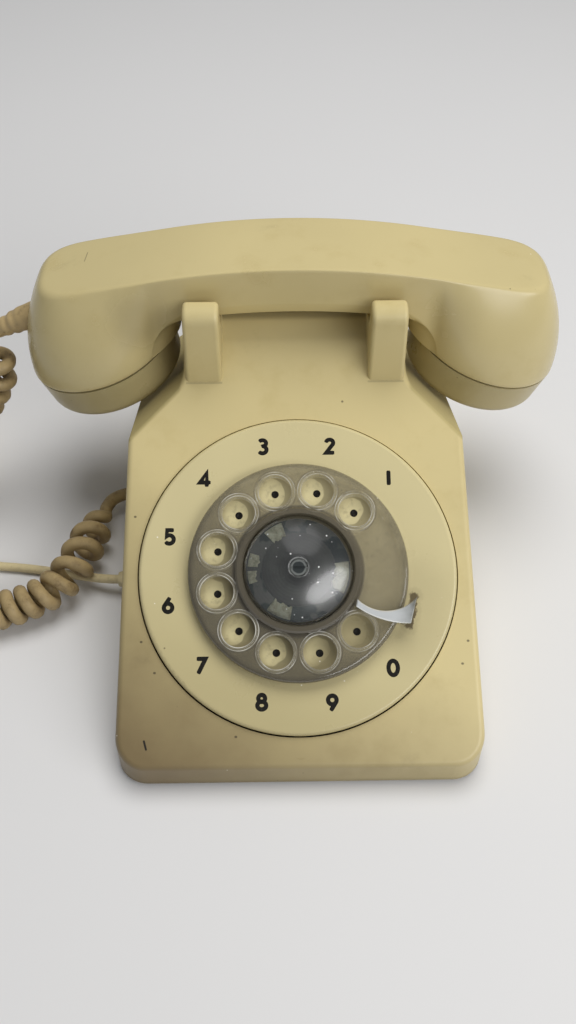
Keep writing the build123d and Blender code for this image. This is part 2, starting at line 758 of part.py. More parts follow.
with BuildPart() as ringer_coil:
    with BuildSketch(Plane.XZ.offset(-CLAPPER_Y)):
        with Locations((-2, 17.6)):
            Circle(9)
    extrude(amount=8, both=True)
    for flange_y in (CLAPPER_Y - 9, CLAPPER_Y + 8):
        with BuildSketch(Plane.XZ.offset(-flange_y - 1)):
            with Locations((-2, 17.6)):
                Circle(10.6)
        extrude(amount=1)
    with BuildSketch(Plane.XY.offset(PLATE_TOP + 1.8)):
        with Locations((-2, CLAPPER_Y)):
            Rectangle(8, 16)
    extrude(amount=4)
keep(ringer_coil.part, "ringer_coil")

for gong_name, gong_y in zip(("gong_front", "gong_back"), GONG_YS):
    with BuildPart() as gong:
        with BuildSketch(Plane.XZ.offset(-gong_y)):
            with BuildLine():
                Line((GONG_X + 1.9, 20.8), (GONG_X + 9, 20.8))
                ThreePointArc((GONG_X + 9, 20.8), (GONG_X + 16.3, 17.3), (GONG_X + GONG_RADIUS - 1.2, 10))
                Line((GONG_X + GONG_RADIUS - 1.2, 10), (GONG_X + GONG_RADIUS, 10))
                ThreePointArc((GONG_X + GONG_RADIUS, 10), (GONG_X + 17.2, 18.2), (GONG_X + 9, 22))
                Polyline((GONG_X + 9, 22), (GONG_X + 1.9, 22), (GONG_X + 1.9, 20.8))
            make_face()
        revolve(axis=Axis((GONG_X, gong_y, 0), (0, 0, 1)))
    keep(gong.part, gong_name)

with BuildPart() as gong_screws:
    with BuildSketch(Plane.XY.offset(22)):
        with Locations(*[(GONG_X, gong_y) for gong_y in GONG_YS]):
            Circle(3.4)
    extrude(amount=1.8)
    with BuildSketch(Plane.XY.offset(13)):
        with Locations(*[(GONG_X, gong_y) for gong_y in GONG_YS]):
            Circle(1.7)
    extrude(amount=9)
keep(gong_screws.part, "gong_screws")

with BuildPart() as clapper:
    with BuildSketch(Plane.XY.offset(10.5)):
        with Locations((CLAPPER_X, CLAPPER_Y)):
            Circle(3.4)
    extrude(amount=6)
    with BuildSketch(Plane.XY.offset(12)):
        with Locations(((CLAPPER_X + GONG_X) / 2, CLAPPER_Y)):
            Rectangle(GONG_X - CLAPPER_X, 1.6)
    extrude(amount=2.4)
    with Locations((GONG_X, CLAPPER_Y, 13.2)):
        Sphere(4)
    with BuildSketch(Plane.XY.offset(10.5)):
        with Locations((CLAPPER_X, CLAPPER_Y)):
            Circle(1.5 + RUNNING_GAP)
    extrude(amount=6, mode=Mode.SUBTRACT)
keep(clapper.part, "clapper")

with BuildPart() as volume_wheel:
    with BuildSketch(Plane.XY.offset(1.0)):
        with Locations((VOLUME_X, VOLUME_Y)):
            Circle(13)
            with PolarLocations(13.4, 24):
                Circle(1.0, mode=Mode.SUBTRACT)
    extrude(amount=1.7)
    with BuildSketch(Plane.XY.offset(2.7)):
        with Locations((VOLUME_X, VOLUME_Y)):
            Circle(2)
    extrude(amount=4.5)
keep(volume_wheel.part, "volume_wheel")

# Network block and its screw terminals
with BuildPart() as network_block:
    with BuildSketch(Plane.XY.offset(PLATE_TOP)):
        with Locations((-38.5, 46)):
            RectangleRounded(39, 68, 3)
    extrude(amount=27)
    fillet(network_block.faces().sort_by(Axis.Z)[-1].edges(), radius=1.5)
keep(network_block.part, "network_block")

with BuildPart() as network_terminals:
    with BuildSketch(Plane.XY.offset(PLATE_TOP + 27)):
        with Locations((-38.5, 46)):
            with GridLocations(26, 11, 2, 6):
                Circle(2.6)
    extrude(amount=2)
keep(network_terminals.part, "network_terminals")

# Handset body: an arched bar with a cup lofted under each end
seam_sin = math.sin(math.radians(SEAM_TILT))
seam_cos = math.cos(math.radians(SEAM_TILT))
end_slope = 50 / 299.7


def seam_height(x):
    """Height of the cap seam plane on the right, at X."""
    return SEAM_Z - (x - SEAM_X) * seam_sin / seam_cos


def seam_plane(side):
    """Plane of the cap seam on one side, with its normal up and outwards."""
    return Plane(
        origin=(side * SEAM_X, HANDSET_Y, SEAM_Z),
        x_dir=(seam_cos, 0, -side * seam_sin),
        z_dir=(side * seam_sin, 0, seam_cos),
    )


def seam_section(side):
    """Plane through the cap axis for turned pieces: x is the radius, y the cap axis."""
    up = Vector(side * seam_sin, 0, seam_cos)
    return Plane(origin=(side * SEAM_X, HANDSET_Y, SEAM_Z), x_dir=(0, 1, 0), z_dir=Vector(0, 1, 0).cross(up))


def seam_axis(side):
    """Axis of the cap on one side."""
    return Axis((side * SEAM_X, HANDSET_Y, SEAM_Z), (side * seam_sin, 0, seam_cos))


def cup_plane(side, x, z, tilt):
    """Plane of one cross section of a cup, leaning outwards by tilt."""
    lean = math.radians(tilt)
    return Plane(
        origin=(side * x, HANDSET_Y, z),
        x_dir=(math.cos(lean), 0, -side * math.sin(lean)),
        z_dir=(side * math.sin(lean), 0, math.cos(lean)),
    )


boot_start = Vector(-108.7, HANDSET_Y, 88.0)
boot_dir = Vector(-0.91, -0.04, -0.41).normalized()
boot_end = boot_start + boot_dir * BOOT_LENGTH
boot_plane = Plane(origin=boot_start, z_dir=boot_dir)
shoulder_z = HANDLE_TOP - 4.2
throat_z = HANDLE_BOTTOM - 3.2
arch_radius = (43**2 - 3.2**2) / (2 * 3.2)


def top_height(x):
    """Height of the straight part of the handset top at X on the right."""
    return shoulder_z - (x - 50) * end_slope


with BuildPart() as handset_body:
    with BuildSketch(Plane.XZ.offset(-HANDSET_Y)):
        with BuildLine():
            ThreePointArc((-50, shoulder_z), (0, HANDLE_TOP), (50, shoulder_z))
            for side in (1, -1):
                Polyline(
                    (side * 50, shoulder_z),
                    (side * BAR_END, top_height(BAR_END)),
                    (side * BAR_END, seam_height(BAR_END)),
                    (side * 54.5, seam_height(54.5)),
                    (side * 54.5, 86),
                )
                TangentArc((side * 43, throat_z), (side * 54.5, 86), tangent=(side, -43 / arch_radius))
            ThreePointArc((-43, throat_z), (0, HANDLE_BOTTOM), (43, throat_z))
        make_face()
    extrude(amount=HANDLE_WIDTH / 2, both=True)
    end_corners = handset_body.edges().filter_by(Axis.Z).filter_by(lambda e: abs(e.center().X) > BAR_END - 1)
    fillet(end_corners, radius=BAR_CORNER)
    top_rim = handset_body.edges().filter_by(lambda e: e.center().Z > 106 and e.length > 5)
    top_rim = top_rim.filter_by(lambda e: abs(e.tangent_at(0.5).Z) < 0.5)
    fillet(top_rim.filter_by(lambda e: abs(e.tangent_at(0.5).Y) < 0.9 or abs(e.center().X) > 60), radius=1.6)
    long_edges = handset_body.edges().filter_by(lambda e: abs(e.tangent_at(0.5).Y) < 0.1)
    under_edges = long_edges.filter_by(lambda e: e.length > 10 and 90 < e.center().Z < 103)
    chamfer(under_edges.filter_by(lambda e: abs(e.center().X) < 60), length=5)
    for side in (1, -1):
        with BuildSketch(seam_plane(side)):
            RectangleRounded(2 * CUP_RADIUS, 2 * CUP_RADIUS, CUP_RADIUS - 0.02)
        with BuildSketch(cup_plane(side, 79.2, 94.6, 12.3)):
            RectangleRounded(56.4, 53.4, 25)
        with BuildSketch(cup_plane(side, 78.2, 103.6, 10.9)):
            RectangleRounded(50.4, 44.6, 20)
        with BuildSketch(cup_plane(side, 74.6, top_height(74.6) - 2.2, math.degrees(math.atan(end_slope)))):
            RectangleRounded(41.4, HANDLE_WIDTH - 1.6, BAR_CORNER)
        loft()
    for side in (1, -1):
        with BuildSketch(seam_plane(side).offset(-6)):
            Circle(28.4)
        extrude(amount=6.5)
        with BuildSketch(seam_plane(side).offset(-6)):
            Circle(26)
        extrude(amount=9, mode=Mode.SUBTRACT)
        with BuildSketch(seam_plane(side)):
            Circle(22)
        extrude(amount=12, mode=Mode.SUBTRACT)
    with BuildSketch(boot_plane.offset(-7)):
        Circle(4.15)
    extrude(amount=12, mode=Mode.SUBTRACT)
keep(handset_body.part, "handset_body")

for cap_name, cap_side in (("transmitter_cap", -1), ("receiver_cap", 1)):
    with BuildPart() as cap:
        with BuildSketch(seam_section(cap_side)):
            with BuildLine():
                Polyline((28.7, -SEAM_GAP), (CAP_RADIUS, -SEAM_GAP), (29.8, -12))
                ThreePointArc((29.8, -12), (28.5, -15.3), (25.2, -CAP_DEPTH))
                Polyline((25.2, -CAP_DEPTH), (12, -CAP_DEPTH - 0.5), (0, -CAP_DEPTH - 0.6))
                Polyline((0, -CAP_DEPTH - 0.6), (0, -12.4), (26, -12), (26, -7), (28.7, -7), (28.7, -SEAM_GAP))
            make_face()
        revolve(axis=seam_axis(cap_side))
        with BuildSketch(seam_plane(cap_side).offset(-CAP_DEPTH - 2)):
            if cap_name == "transmitter_cap":
                Circle(1.1)
                with PolarLocations(6.5, 6):
                    Circle(1.1)
                with PolarLocations(13, 12):
                    Circle(1.1)
            else:
                Circle(1.3)
                with PolarLocations(5.5, 6):
                    Circle(1.3)
        extrude(amount=8, mode=Mode.SUBTRACT)
    keep(cap.part, cap_name)

for capsule_name, capsule_side, depth in (
    ("transmitter_capsule", -1, 11.0),
    ("receiver_capsule", 1, 13.0),
):
    with BuildPart() as capsule:
        with BuildSketch(seam_plane(capsule_side).offset(-11)):
            Circle(24.5)
        extrude(amount=4)
        with BuildSketch(seam_plane(capsule_side).offset(-7)):
            Circle(20)
        extrude(amount=depth)
    keep(capsule.part, capsule_name)

# Cords


def bend_radii(points):
    """Largest tangent arcs that leave a straight run between neighbouring bends."""
    radii = []
    for before, here, after in zip(points, points[1:], points[2:]):
        arriving = Vector(*here) - Vector(*before)
        leaving = Vector(*after) - Vector(*here)
        half_turn = math.radians(arriving.get_angle(leaving)) / 2
        radii.append(0.45 * min(arriving.length, leaving.length) / math.tan(half_turn))
    return radii


def biarc_joint(start, start_dir, end, end_dir):
    """Point and direction where two tangent arcs from start to end meet."""
    gap = end - start
    both = start_dir + end_dir
    spread = 2 * (1 - start_dir.dot(end_dir))
    along = gap.dot(both)
    if spread < 1e-6:
        reach = gap.length / 2
    else:
        reach = (-along + math.sqrt(along**2 + spread * gap.dot(gap))) / spread
    first = start + start_dir * reach
    second = end - end_dir * reach
    if (second - first).length < 0.001:
        return (first + second) * 0.5, start_dir
    return (first + second) * 0.5, (second - first).normalized()


def biarc_edges(knots):
    """Tangent arcs through knots of point and direction, straight where they line up."""
    edges = []
    for (start, start_dir), (end, end_dir) in zip(knots, knots[1:]):
        joint, joint_dir = biarc_joint(start, start_dir, end, end_dir)
        for a, a_dir, b in ((start, start_dir, joint), (joint, joint_dir, end)):
            if a_dir.get_angle(b - a) < 0.02:
                edges.append(Edge.make_line(a, b))
            else:
                edges.append(Edge.make_tangent_arc(a, a_dir, b))
    return edges


def least_gap(edges, wire, reach):
    """Least space between stretches of one tube that lie over reach apart along it."""
    points = []
    travelled = 0.0
    for edge in edges:
        steps = max(2, int(edge.length / 1.5))
        for step in range(steps):
            point = edge.position_at(step / steps)
            points.append((travelled + edge.length * step / steps, point.X, point.Y, point.Z))
        travelled += edge.length
    least = 1e9
    for index, (here_s, x, y, z) in enumerate(points):
        for there_s, tx, ty, tz in points[index + 1:]:
            if there_s - here_s > reach:
                apart = (x - tx) ** 2 + (y - ty) ** 2 + (z - tz) ** 2
                least = min(least, apart)
    return math.sqrt(least) - wire


def ramp(value):
    """Smooth step from 0 to 1."""
    held = min(1.0, max(0.0, value))
    return held * held * (3 - 2 * held)


# Boot where the curly cord leaves the handset, with a spigot in the handset's end
with BuildPart() as handset_boot:
    with BuildSketch(boot_plane.offset(-6)):
        Circle(4.0)
    extrude(amount=8.4)
    with BuildSketch(boot_plane.offset(2.4)):
        Circle(5.0)
    with BuildSketch(boot_plane.offset(BOOT_LENGTH)):
        Circle(3.2)
    loft()
keep(handset_boot.part, "handset_boot")

for grommet_name, entry, neck, outer, tip in (
    ("line_grommet", LINE_ENTRY, 3.0, 4.4, -75.0),
    ("handset_grommet", HANDSET_ENTRY, 4.2, 5.4, -71.5),
):
    with BuildPart() as grommet:
        with BuildSketch(Plane.XY.offset(entry.Z)):
            with BuildLine():
                Polyline(
                    (-62.6, entry.Y),
                    (-62.6, entry.Y + neck + 0.4),
                    (-64.3, entry.Y + neck + 0.4),
                    (-64.3, entry.Y + neck),
                    (-68.2, entry.Y + neck),
                    (-68.2, entry.Y + outer),
                    (-69.8, entry.Y + outer),
                    (tip, entry.Y + neck),
                    (tip, entry.Y),
                    close=True,
                )
            make_face()
        revolve(axis=Axis((0, entry.Y, entry.Z), (1, 0, 0)))
    keep(grommet.part, grommet_name)

# Curly cord: a helix about a route that hangs from the boot and crosses the table to the base
curl_bend = boot_end + boot_dir * 12
curl_route = [
    (boot_end.X, boot_end.Y, boot_end.Z),
    (curl_bend.X, curl_bend.Y, curl_bend.Z),
    (-129.0, 48.5, 61.0),
    (-133.0, 42.0, 45.5),
    (-148.0, 30.0, 31.0),
    (-164.0, 13.0, 19.5),
    (-172.5, -9.5, 12.0),
    (-166.5, -31.5, 8.8),
    (-147.0, -41.0, 8.6),
    (-127.0, -34.5, 8.6),
    (-111.5, -30.0, 9.6),
    (-101.0, -20.5, 12.0),
    (-95.2, -8.5, 13.2),
    (-92.4, 2.5, 11.6),
    (-90.2, 11.0, 10.4),
    (-86.8, 18.6, 10.0),
    (-82.0, HANDSET_ENTRY.Y, HANDSET_ENTRY.Z),
    (-71.5, HANDSET_ENTRY.Y, HANDSET_ENTRY.Z),
]
curl_bends = bend_radii(curl_route)
print("curly cord route radii", [round(r, 1) for r in curl_bends])
with BuildLine() as curl_axis:
    FilletPolyline(*curl_route, radius=curl_bends)
curl_wire_path = curl_axis.wire()
curl_length = curl_wire_path.length
SAMPLES = 900
axis_points = [curl_wire_path.position_at(i / SAMPLES) for i in range(SAMPLES + 1)]
axis_dirs = [curl_wire_path.tangent_at(i / SAMPLES) for i in range(SAMPLES + 1)]
side_dirs = [Vector(0, 0, 1).cross(axis_dirs[0]).normalized()]
for axis_dir in axis_dirs[1:]:
    flat = side_dirs[-1] - axis_dir * side_dirs[-1].dot(axis_dir)
    side_dirs.append(flat.normalized())


def curl_point(turns_at, index):
    """Point of the helix at one sample of its route."""
    along = curl_length * index / SAMPLES
    grow = min(ramp((along - CURL_LEAD) / 22), ramp((curl_length - along - CURL_TAIL) / 22))
    turned = 2 * math.pi * turns_at[index]
    across = axis_dirs[index].cross(side_dirs[index])
    offset = side_dirs[index] * math.cos(turned) + across * math.sin(turned)
    return axis_points[index] + offset * (CURL_RADIUS * grow)


curl_turns = [0.0]
for sample in range(SAMPLES):
    along = curl_length * (sample + 0.5) / SAMPLES
    near_end = min(along - CURL_LEAD, curl_length - along - CURL_TAIL)
    pitch = CURL_PITCH + 11.0 * (1 - ramp(near_end / 26)) + 1.4 * ramp((along - curl_length + 75) / 30)
    active = 1.0 if near_end > 0 else 0.0
    curl_turns.append(curl_turns[-1] + active * curl_length / SAMPLES / pitch)
print("curly cord turns", round(curl_turns[-1], 1))

curl_curve = [curl_point(curl_turns, i) for i in range(SAMPLES + 1)]
next_turn = 0.0
per_sample = curl_length / SAMPLES
knot_indexes = [round(along / per_sample) for along in (0, 7.5, 12.5, CURL_LEAD)]
tail_indexes = [SAMPLES - round(along / per_sample) for along in (CURL_TAIL, 9, 5, 0)]
for sample in range(knot_indexes[-1] + 1, tail_indexes[0] - 6):
    if curl_turns[sample] >= next_turn + 0.25:
        next_turn += 0.25
        knot_indexes.append(sample)
knot_indexes.extend(tail_indexes)
curl_knots = []
for sample in knot_indexes:
    low = max(0, sample - 1)
    high = min(SAMPLES, sample + 1)
    curl_knots.append((curl_curve[sample], (curl_curve[high] - curl_curve[low]).normalized()))
curl_edges = biarc_edges(curl_knots)
print("curly cord least gap to itself", round(least_gap(curl_edges, CURL_WIRE, 14), 2))
with BuildPart() as handset_cord:
    with BuildLine() as curl_line:
        for edge in curl_edges:
            add(edge)
    with BuildSketch(Plane(origin=curl_knots[0][0], z_dir=curl_knots[0][1])):
        Circle(CURL_WIRE / 2)
    sweep(path=curl_line.wire())
curl_run = sum(edge.length for edge in curl_edges)
print("curly cord length", round(curl_run, 1))
print("curly cord volume over section", round(handset_cord.part.volume / (curl_run * math.pi * CURL_WIRE**2 / 4), 4))
keep(handset_cord.part, "handset_cord")

# Line cord: a free stretch, then a neat coil, then a tail with the plug
coil_outer = COIL_INNER + COIL_STEP * 3
coil_start = COIL_CENTRE + Vector(coil_outer, 0, COIL_FLOOR)
line_route = [
    (-75.0, LINE_ENTRY.Y, LINE_ENTRY.Z),
    (-81.0, LINE_ENTRY.Y, LINE_ENTRY.Z),
    (-98.0, -11.6, 2.2),
    (-117.0, -7.8, 2.0),
    (-140.0, -5.8, 2.0),
    (-151.7, 8.2, 2.1),
    (-152.8, 36.0, 2.8),
    (coil_start.X, coil_start.Y, coil_start.Z),
]
line_bends = bend_radii(line_route)
print("line cord route radii", [round(r, 1) for r in line_bends])
with BuildPart() as line_cord:
    with BuildLine() as line_path:
        FilletPolyline(*line_route, radius=line_bends)
    first_run = Vector(*line_route[1]) - Vector(*line_route[0])
    with BuildSketch(Plane(origin=line_route[0], z_dir=first_run)):
        Circle(LINE_WIRE / 2)
    sweep(path=line_path.wire())
line_run = line_path.wire().length
print("line cord length", round(line_run, 1))
print("line cord volume over section", round(line_cord.part.volume / (line_run * math.pi * LINE_WIRE**2 / 4), 4))
keep(line_cord.part, "line_cord")


def coil_point(turn):
    """Point of the wound coil: layers spiral in and out and climb where the spiral reverses."""
    period = COIL_LAYER_TURNS + 0.5
    layer = min(COIL_LAYERS - 1, int(turn / period))
    inside = turn - layer * period
    spiral = min(1.0, inside / COIL_LAYER_TURNS)
    climb = ramp((inside - COIL_LAYER_TURNS) / 0.5)
    inward = spiral if layer % 2 == 0 else 1 - spiral
    radius = coil_outer - 3 * COIL_STEP * inward
    height = COIL_FLOOR + COIL_STEP * (layer + climb)
    angle = 2 * math.pi * turn
    return COIL_CENTRE + Vector(radius * math.cos(angle), radius * math.sin(angle), height)


coil_turns = COIL_LAYERS * COIL_LAYER_TURNS + 0.5 * (COIL_LAYERS - 1)
coil_knots = []
quarter_count = round(coil_turns * 4)
for quarter in range(quarter_count + 1):
    turn = quarter / 4
    ahead = coil_point(min(coil_turns, turn + 0.002)) - coil_point(max(0.0, turn - 0.002))
    coil_knots.append((coil_point(turn), ahead.normalized()))
coil_knots[0] = (coil_start, (coil_start - Vector(*line_route[-2])).normalized())
coil_edges = biarc_edges(coil_knots)
print("coil least gap to itself", round(least_gap(coil_edges, LINE_WIRE, 30), 2))
with BuildPart() as line_cord_coil:
    with BuildLine() as coil_line:
        for edge in coil_edges:
            add(edge)
    with BuildSketch(Plane(origin=coil_knots[0][0], z_dir=coil_knots[0][1])):
        Circle(LINE_WIRE / 2)
    sweep(path=coil_line.wire())
coil_run = sum(edge.length for edge in coil_edges)
print("coil length", round(coil_run, 1), "ends at", coil_knots[-1])
print("coil volume over section", round(line_cord_coil.part.volume / (coil_run * math.pi * LINE_WIRE**2 / 4), 4))
keep(line_cord_coil.part, "line_cord_coil")

coil_end, coil_end_dir = coil_knots[-1]
tail_route = [
    (coil_end.X, coil_end.Y, coil_end.Z),
    (coil_end.X + coil_end_dir.X * 13, coil_end.Y + coil_end_dir.Y * 13, coil_end.Z),
    (-207.5, 34.0, 10.5),
    (-203.5, 21.0, 3.9),
    (-198.5, 10.5, 3.9),
]
tail_bends = bend_radii(tail_route)
print("tail route radii", [round(r, 1) for r in tail_bends])
with BuildPart() as line_cord_tail:
    with BuildLine() as tail_path:
        FilletPolyline(*tail_route, radius=tail_bends)
    with BuildSketch(Plane(origin=coil_end, z_dir=coil_end_dir)):
        Circle(LINE_WIRE / 2)
    sweep(path=tail_path.wire())
tail_run = tail_path.wire().length
print("tail length", round(tail_run, 1), "whole line cord", round(line_run + coil_run + tail_run, 1))
print("tail volume over section", round(line_cord_tail.part.volume / (tail_run * math.pi * LINE_WIRE**2 / 4), 4))
keep(line_cord_tail.part, "line_cord_tail")

# Band that ties the coil
with BuildPart() as coil_tie:
    middle_y = COIL_CENTRE.Y + (COIL_INNER + coil_outer) / 2
    middle_z = COIL_FLOOR + COIL_STEP * (COIL_LAYERS - 1) / 2
    clear_y = coil_outer - COIL_INNER + LINE_WIRE + 1.0
    clear_z = COIL_STEP * (COIL_LAYERS - 1) + LINE_WIRE + 0.8
    with BuildSketch(Plane.YZ.offset(COIL_CENTRE.X - 3)):
        with Locations((middle_y, middle_z)):
            RectangleRounded(clear_y + 1.6, clear_z + 1.6, 2.2)
            RectangleRounded(clear_y, clear_z, 1.4, mode=Mode.SUBTRACT)
    extrude(amount=6)
keep(coil_tie.part, "coil_tie")

# Plug at the far end, lying flat with its latch up
plug_start = Vector(*tail_route[-1])
tail_dir = plug_start - Vector(*tail_route[-2])
plug_dir = Vector(tail_dir.X, tail_dir.Y, 0).normalized()
plug_plane = Plane(origin=plug_start, x_dir=(-plug_dir.Y, plug_dir.X, 0), z_dir=plug_dir)
with BuildPart() as line_plug:
    with BuildSketch(plug_plane):
        RectangleRounded(11.6, 7.2, 1.0)
    extrude(amount=12)
    with BuildSketch(plug_plane.offset(12)):
        RectangleRounded(9.8, 6.4, 0.6)
    extrude(amount=9)
    with BuildSketch(plug_plane.offset(1)):
        with Locations((0, 5.0)):
            Rectangle(5, 1.0)
    extrude(amount=18)
    with BuildSketch(plug_plane.offset(15)):
        with Locations((0, 4.0)):
            Rectangle(5, 2.6)
    extrude(amount=4)
    with BuildSketch(plug_plane.offset(17)):
        with Locations((0, -3.0)):
            with GridLocations(1.6, 1, 4, 1):
                Rectangle(0.6, 1.2)
    extrude(amount=6, mode=Mode.SUBTRACT)
keep(line_plug.part, "line_plug")
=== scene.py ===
import json
import math

import bmesh
import bpy
import numpy as np
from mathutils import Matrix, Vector


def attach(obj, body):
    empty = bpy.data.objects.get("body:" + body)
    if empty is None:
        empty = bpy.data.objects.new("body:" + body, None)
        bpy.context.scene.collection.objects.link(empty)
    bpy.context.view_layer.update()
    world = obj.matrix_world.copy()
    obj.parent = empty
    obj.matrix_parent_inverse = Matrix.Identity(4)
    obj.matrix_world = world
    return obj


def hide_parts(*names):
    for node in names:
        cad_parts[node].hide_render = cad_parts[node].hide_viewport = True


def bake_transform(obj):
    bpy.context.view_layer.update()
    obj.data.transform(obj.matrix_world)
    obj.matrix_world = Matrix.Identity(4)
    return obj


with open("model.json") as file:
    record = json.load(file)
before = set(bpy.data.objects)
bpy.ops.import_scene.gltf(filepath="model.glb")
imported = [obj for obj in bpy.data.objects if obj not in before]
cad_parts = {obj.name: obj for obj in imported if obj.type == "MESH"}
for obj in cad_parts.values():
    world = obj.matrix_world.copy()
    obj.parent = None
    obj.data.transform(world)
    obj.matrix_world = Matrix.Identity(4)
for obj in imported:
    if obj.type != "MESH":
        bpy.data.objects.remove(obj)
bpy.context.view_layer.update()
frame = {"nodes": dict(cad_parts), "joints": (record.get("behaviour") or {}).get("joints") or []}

bl_info = {
    "name": "Rotary telephone",
    "version": (1, 0, 0),
    "blender": (4, 5, 0),
    "location": "View3D > Sidebar > Telephone",
    "description": "Dresses the packed telephone with its cords, marks, clear parts and finishes",
    "category": "Object",
}

MM = 0.001
TURN = 2 * math.pi

# The dial's own frame: u to the right, v up the face, w out of it
dial_joint = next(joint for joint in frame["joints"] if joint["name"] == "dial_turn")
dial_centre = np.array(dial_joint["pos_m"])
dial_out = np.array(dial_joint["axis"])
dial_right = np.array([1.0, 0.0, 0.0])
dial_up = np.cross(dial_out, dial_right)

# Routes of the cords, in millimetres: the curly one as in the picture, the line cord's as in the part
CURLY_ROUTE = (
    (-122.4, 55.4, 81.8),
    (-129.0, 55.0, 79.0),
    (-122.0, 51.0, 66.0),
    (-137.0, 42.0, 46.5),
    (-148.0, 30.0, 31.0),
    (-164.0, 13.0, 19.5),
    (-172.5, -9.5, 12.4),
    (-166.5, -31.5, 9.2),
    (-147.0, -39.5, 9.0),
    (-127.0, -35.5, 9.0),
    (-111.5, -31.5, 9.8),
    (-98.5, -24.5, 12.2),
    (-92.2, -12.0, 13.4),
    (-89.5, -0.5, 11.8),
    (-87.5, 8.5, 10.4),
    (-84.8, 17.0, 10.0),
    (-81.5, 26.5, 10.0),
    (-71.5, 28.0, 10.0),
)
LINE_ROUTE = (
    (-75.0, -18.5, 8.0),
    (-81.0, -18.5, 8.0),
    (-98.0, -11.6, 2.2),
    (-117.0, -7.8, 2.0),
    (-140.0, -5.8, 2.0),
    (-151.7, 8.2, 2.1),
    (-152.8, 36.0, 2.8),
)
LINE_TAIL = (
    (-208.5, 49.0, 16.7),
    (-207.5, 34.0, 10.5),
    (-203.5, 21.0, 3.9),
    (-198.5, 10.5, 3.9),
)
HELIX_POINTS = 3600
COIL_CENTRE = (-180.0, 62.0)
COIL_INNER = 14.6
COIL_STEP = 4.5
COIL_LAYERS = 4
COIL_LAYER_TURNS = 2.75
COIL_CLIMB_TURNS = 0.5
COIL_FLOOR = 3.2
COIL_POINTS_A_TURN = 20

# Where the boot leaves the handset, in millimetres
BOOT_START = (-108.7, 56.0, 88.0)
BOOT_END = (-122.4, 55.4, 81.8)

# Dark specks on the housing's face, in millimetres
HOUSING_SPECKS = (
    (-58.4, -65.1, 34.4),
    (-53.3, -75.2, 29.2),
    (-23.5, -95.8, 18.7),
    (62.5, -66.0, 33.9),
    (60.0, -73.4, 30.1),
    (-61.6, -23.0, 55.8),
)

# Handset, in millimetres: cap seam, grip, throat, top line and the arch under the grip
HANDSET_Y = 56.0
SEAM_X = 79.8
SEAM_Z = 76.1
SEAM_RADIUS = 31.0
SEAM_TILT = math.radians(15)
GRIP_HALF = 17.0
THROAT_START = 37.0
THROAT_END = 56.5
FLARE_START = 48.0
THROAT_BULGE = 10.6
TOP_END = 98.7
TOP_HEIGHT = 122.0
TOP_CURVE = 595.0
TOP_BEND = 50.0
TOP_BEND_HEIGHT = 117.8
TOP_SLOPE = 0.1668
ARCH_HEIGHT = 101.5
ARCH_CURVE = 578.0
SIDE_POWER = 1.7
END_POWER = 2.3

# Dial, in millimetres and degrees
HOLE_CIRCLE = 31.0
FIRST_HOLE = 46.0
HOLE_STEP = 29.75
FIRST_DIGIT = 45.2
DIGIT_STEP = 29.8
DIGIT_RAISE = 0.5
DIGITS = "1234567890"
DOME_RADIUS = 20.0
DOME_RISE = 6.0
DOME_TOP = 14.0

# Scraps of card: start and end angle in degrees, inner and outer radius in millimetres
CARD_SCRAPS = (
    (109, 132, 12.5, 18.3),
    (160, 176, 14.3, 18.4),
    (181, 196, 15.2, 18.4),
    (231, 260, 13.4, 18.4),
    (-29, 9, 12.9, 18.4),
)


def length_property(name, description, millimetres):
    """A length that the user can change, given in millimetres."""
    return bpy.props.FloatProperty(
        name=name, description=description, default=millimetres * MM, unit="LENGTH")


class PhoneSizes(bpy.types.PropertyGroup):
    """Sizes of the pieces that the scene adds."""

    digit_height: length_property("Digit height", "Height of a digit on the number plate", 6.8)
    digit_stroke: length_property("Digit stroke", "Width of a digit's line", 1.65)
    digit_circle: length_property("Digit circle", "From the dial's axis to the middle of a digit", 49.9)
    dot_radius: length_property("Dot radius", "Radius of the dark pin under each finger hole", 1.4)
    curly_wire: length_property("Curly cord thickness", "Diameter of the cord that is curled", 5.6)
    curly_radius: length_property("Curl radius", "Radius of the curls at the middle of the cord", 5.5)
    curly_pitch: length_property("Curl pitch", "Distance between neighbouring curls", 6.5)
    line_wire: length_property("Line cord thickness", "Diameter of the straight line cord", 3.8)


def colour_property(name, description, default):
    """A colour that the user can change, as linear red, green and blue."""
    return bpy.props.FloatVectorProperty(
        name=name, description=description, default=default, size=3, min=0, max=1, subtype="COLOR")


class PhoneColours(bpy.types.PropertyGroup):
    """Colours of the finishes."""

    cream: colour_property("Cream", "Aged plastic of the housing and handset", (0.60, 0.50, 0.25))
    plate: colour_property("Number plate", "Paler plastic under the dial", (0.60, 0.52, 0.285))
    ink: colour_property("Ink", "Digits and pins of the dial", (0.012, 0.011, 0.009))
    wheel: colour_property("Finger wheel", "Tint of the smoky clear wheel", (0.28, 0.245, 0.165))
    curly: colour_property("Curly cord", "Worn jacket of the handset cord", (0.34, 0.25, 0.12))
    line: colour_property("Line cord", "Jacket of the line cord", (0.56, 0.47, 0.27))
    grime: colour_property("Grime", "Dirt in the corners", (0.10, 0.075, 0.04))
    floor: colour_property("Floor", "Surface that the telephone stands on", (0.72, 0.71, 0.70))


def sizes():
    return bpy.context.scene.phone_sizes


def colours():
    return bpy.context.scene.phone_colours


def operator_pair(operation):
    """A Math node's operation as an operator and as its reflected form."""
    def ahead(self, other):
        return self.math(operation, other)

    def reflected(self, other):
        return self.paint.add("ShaderNodeMath", {"operation": operation}, {0: other, 1: self})

    return ahead, reflected


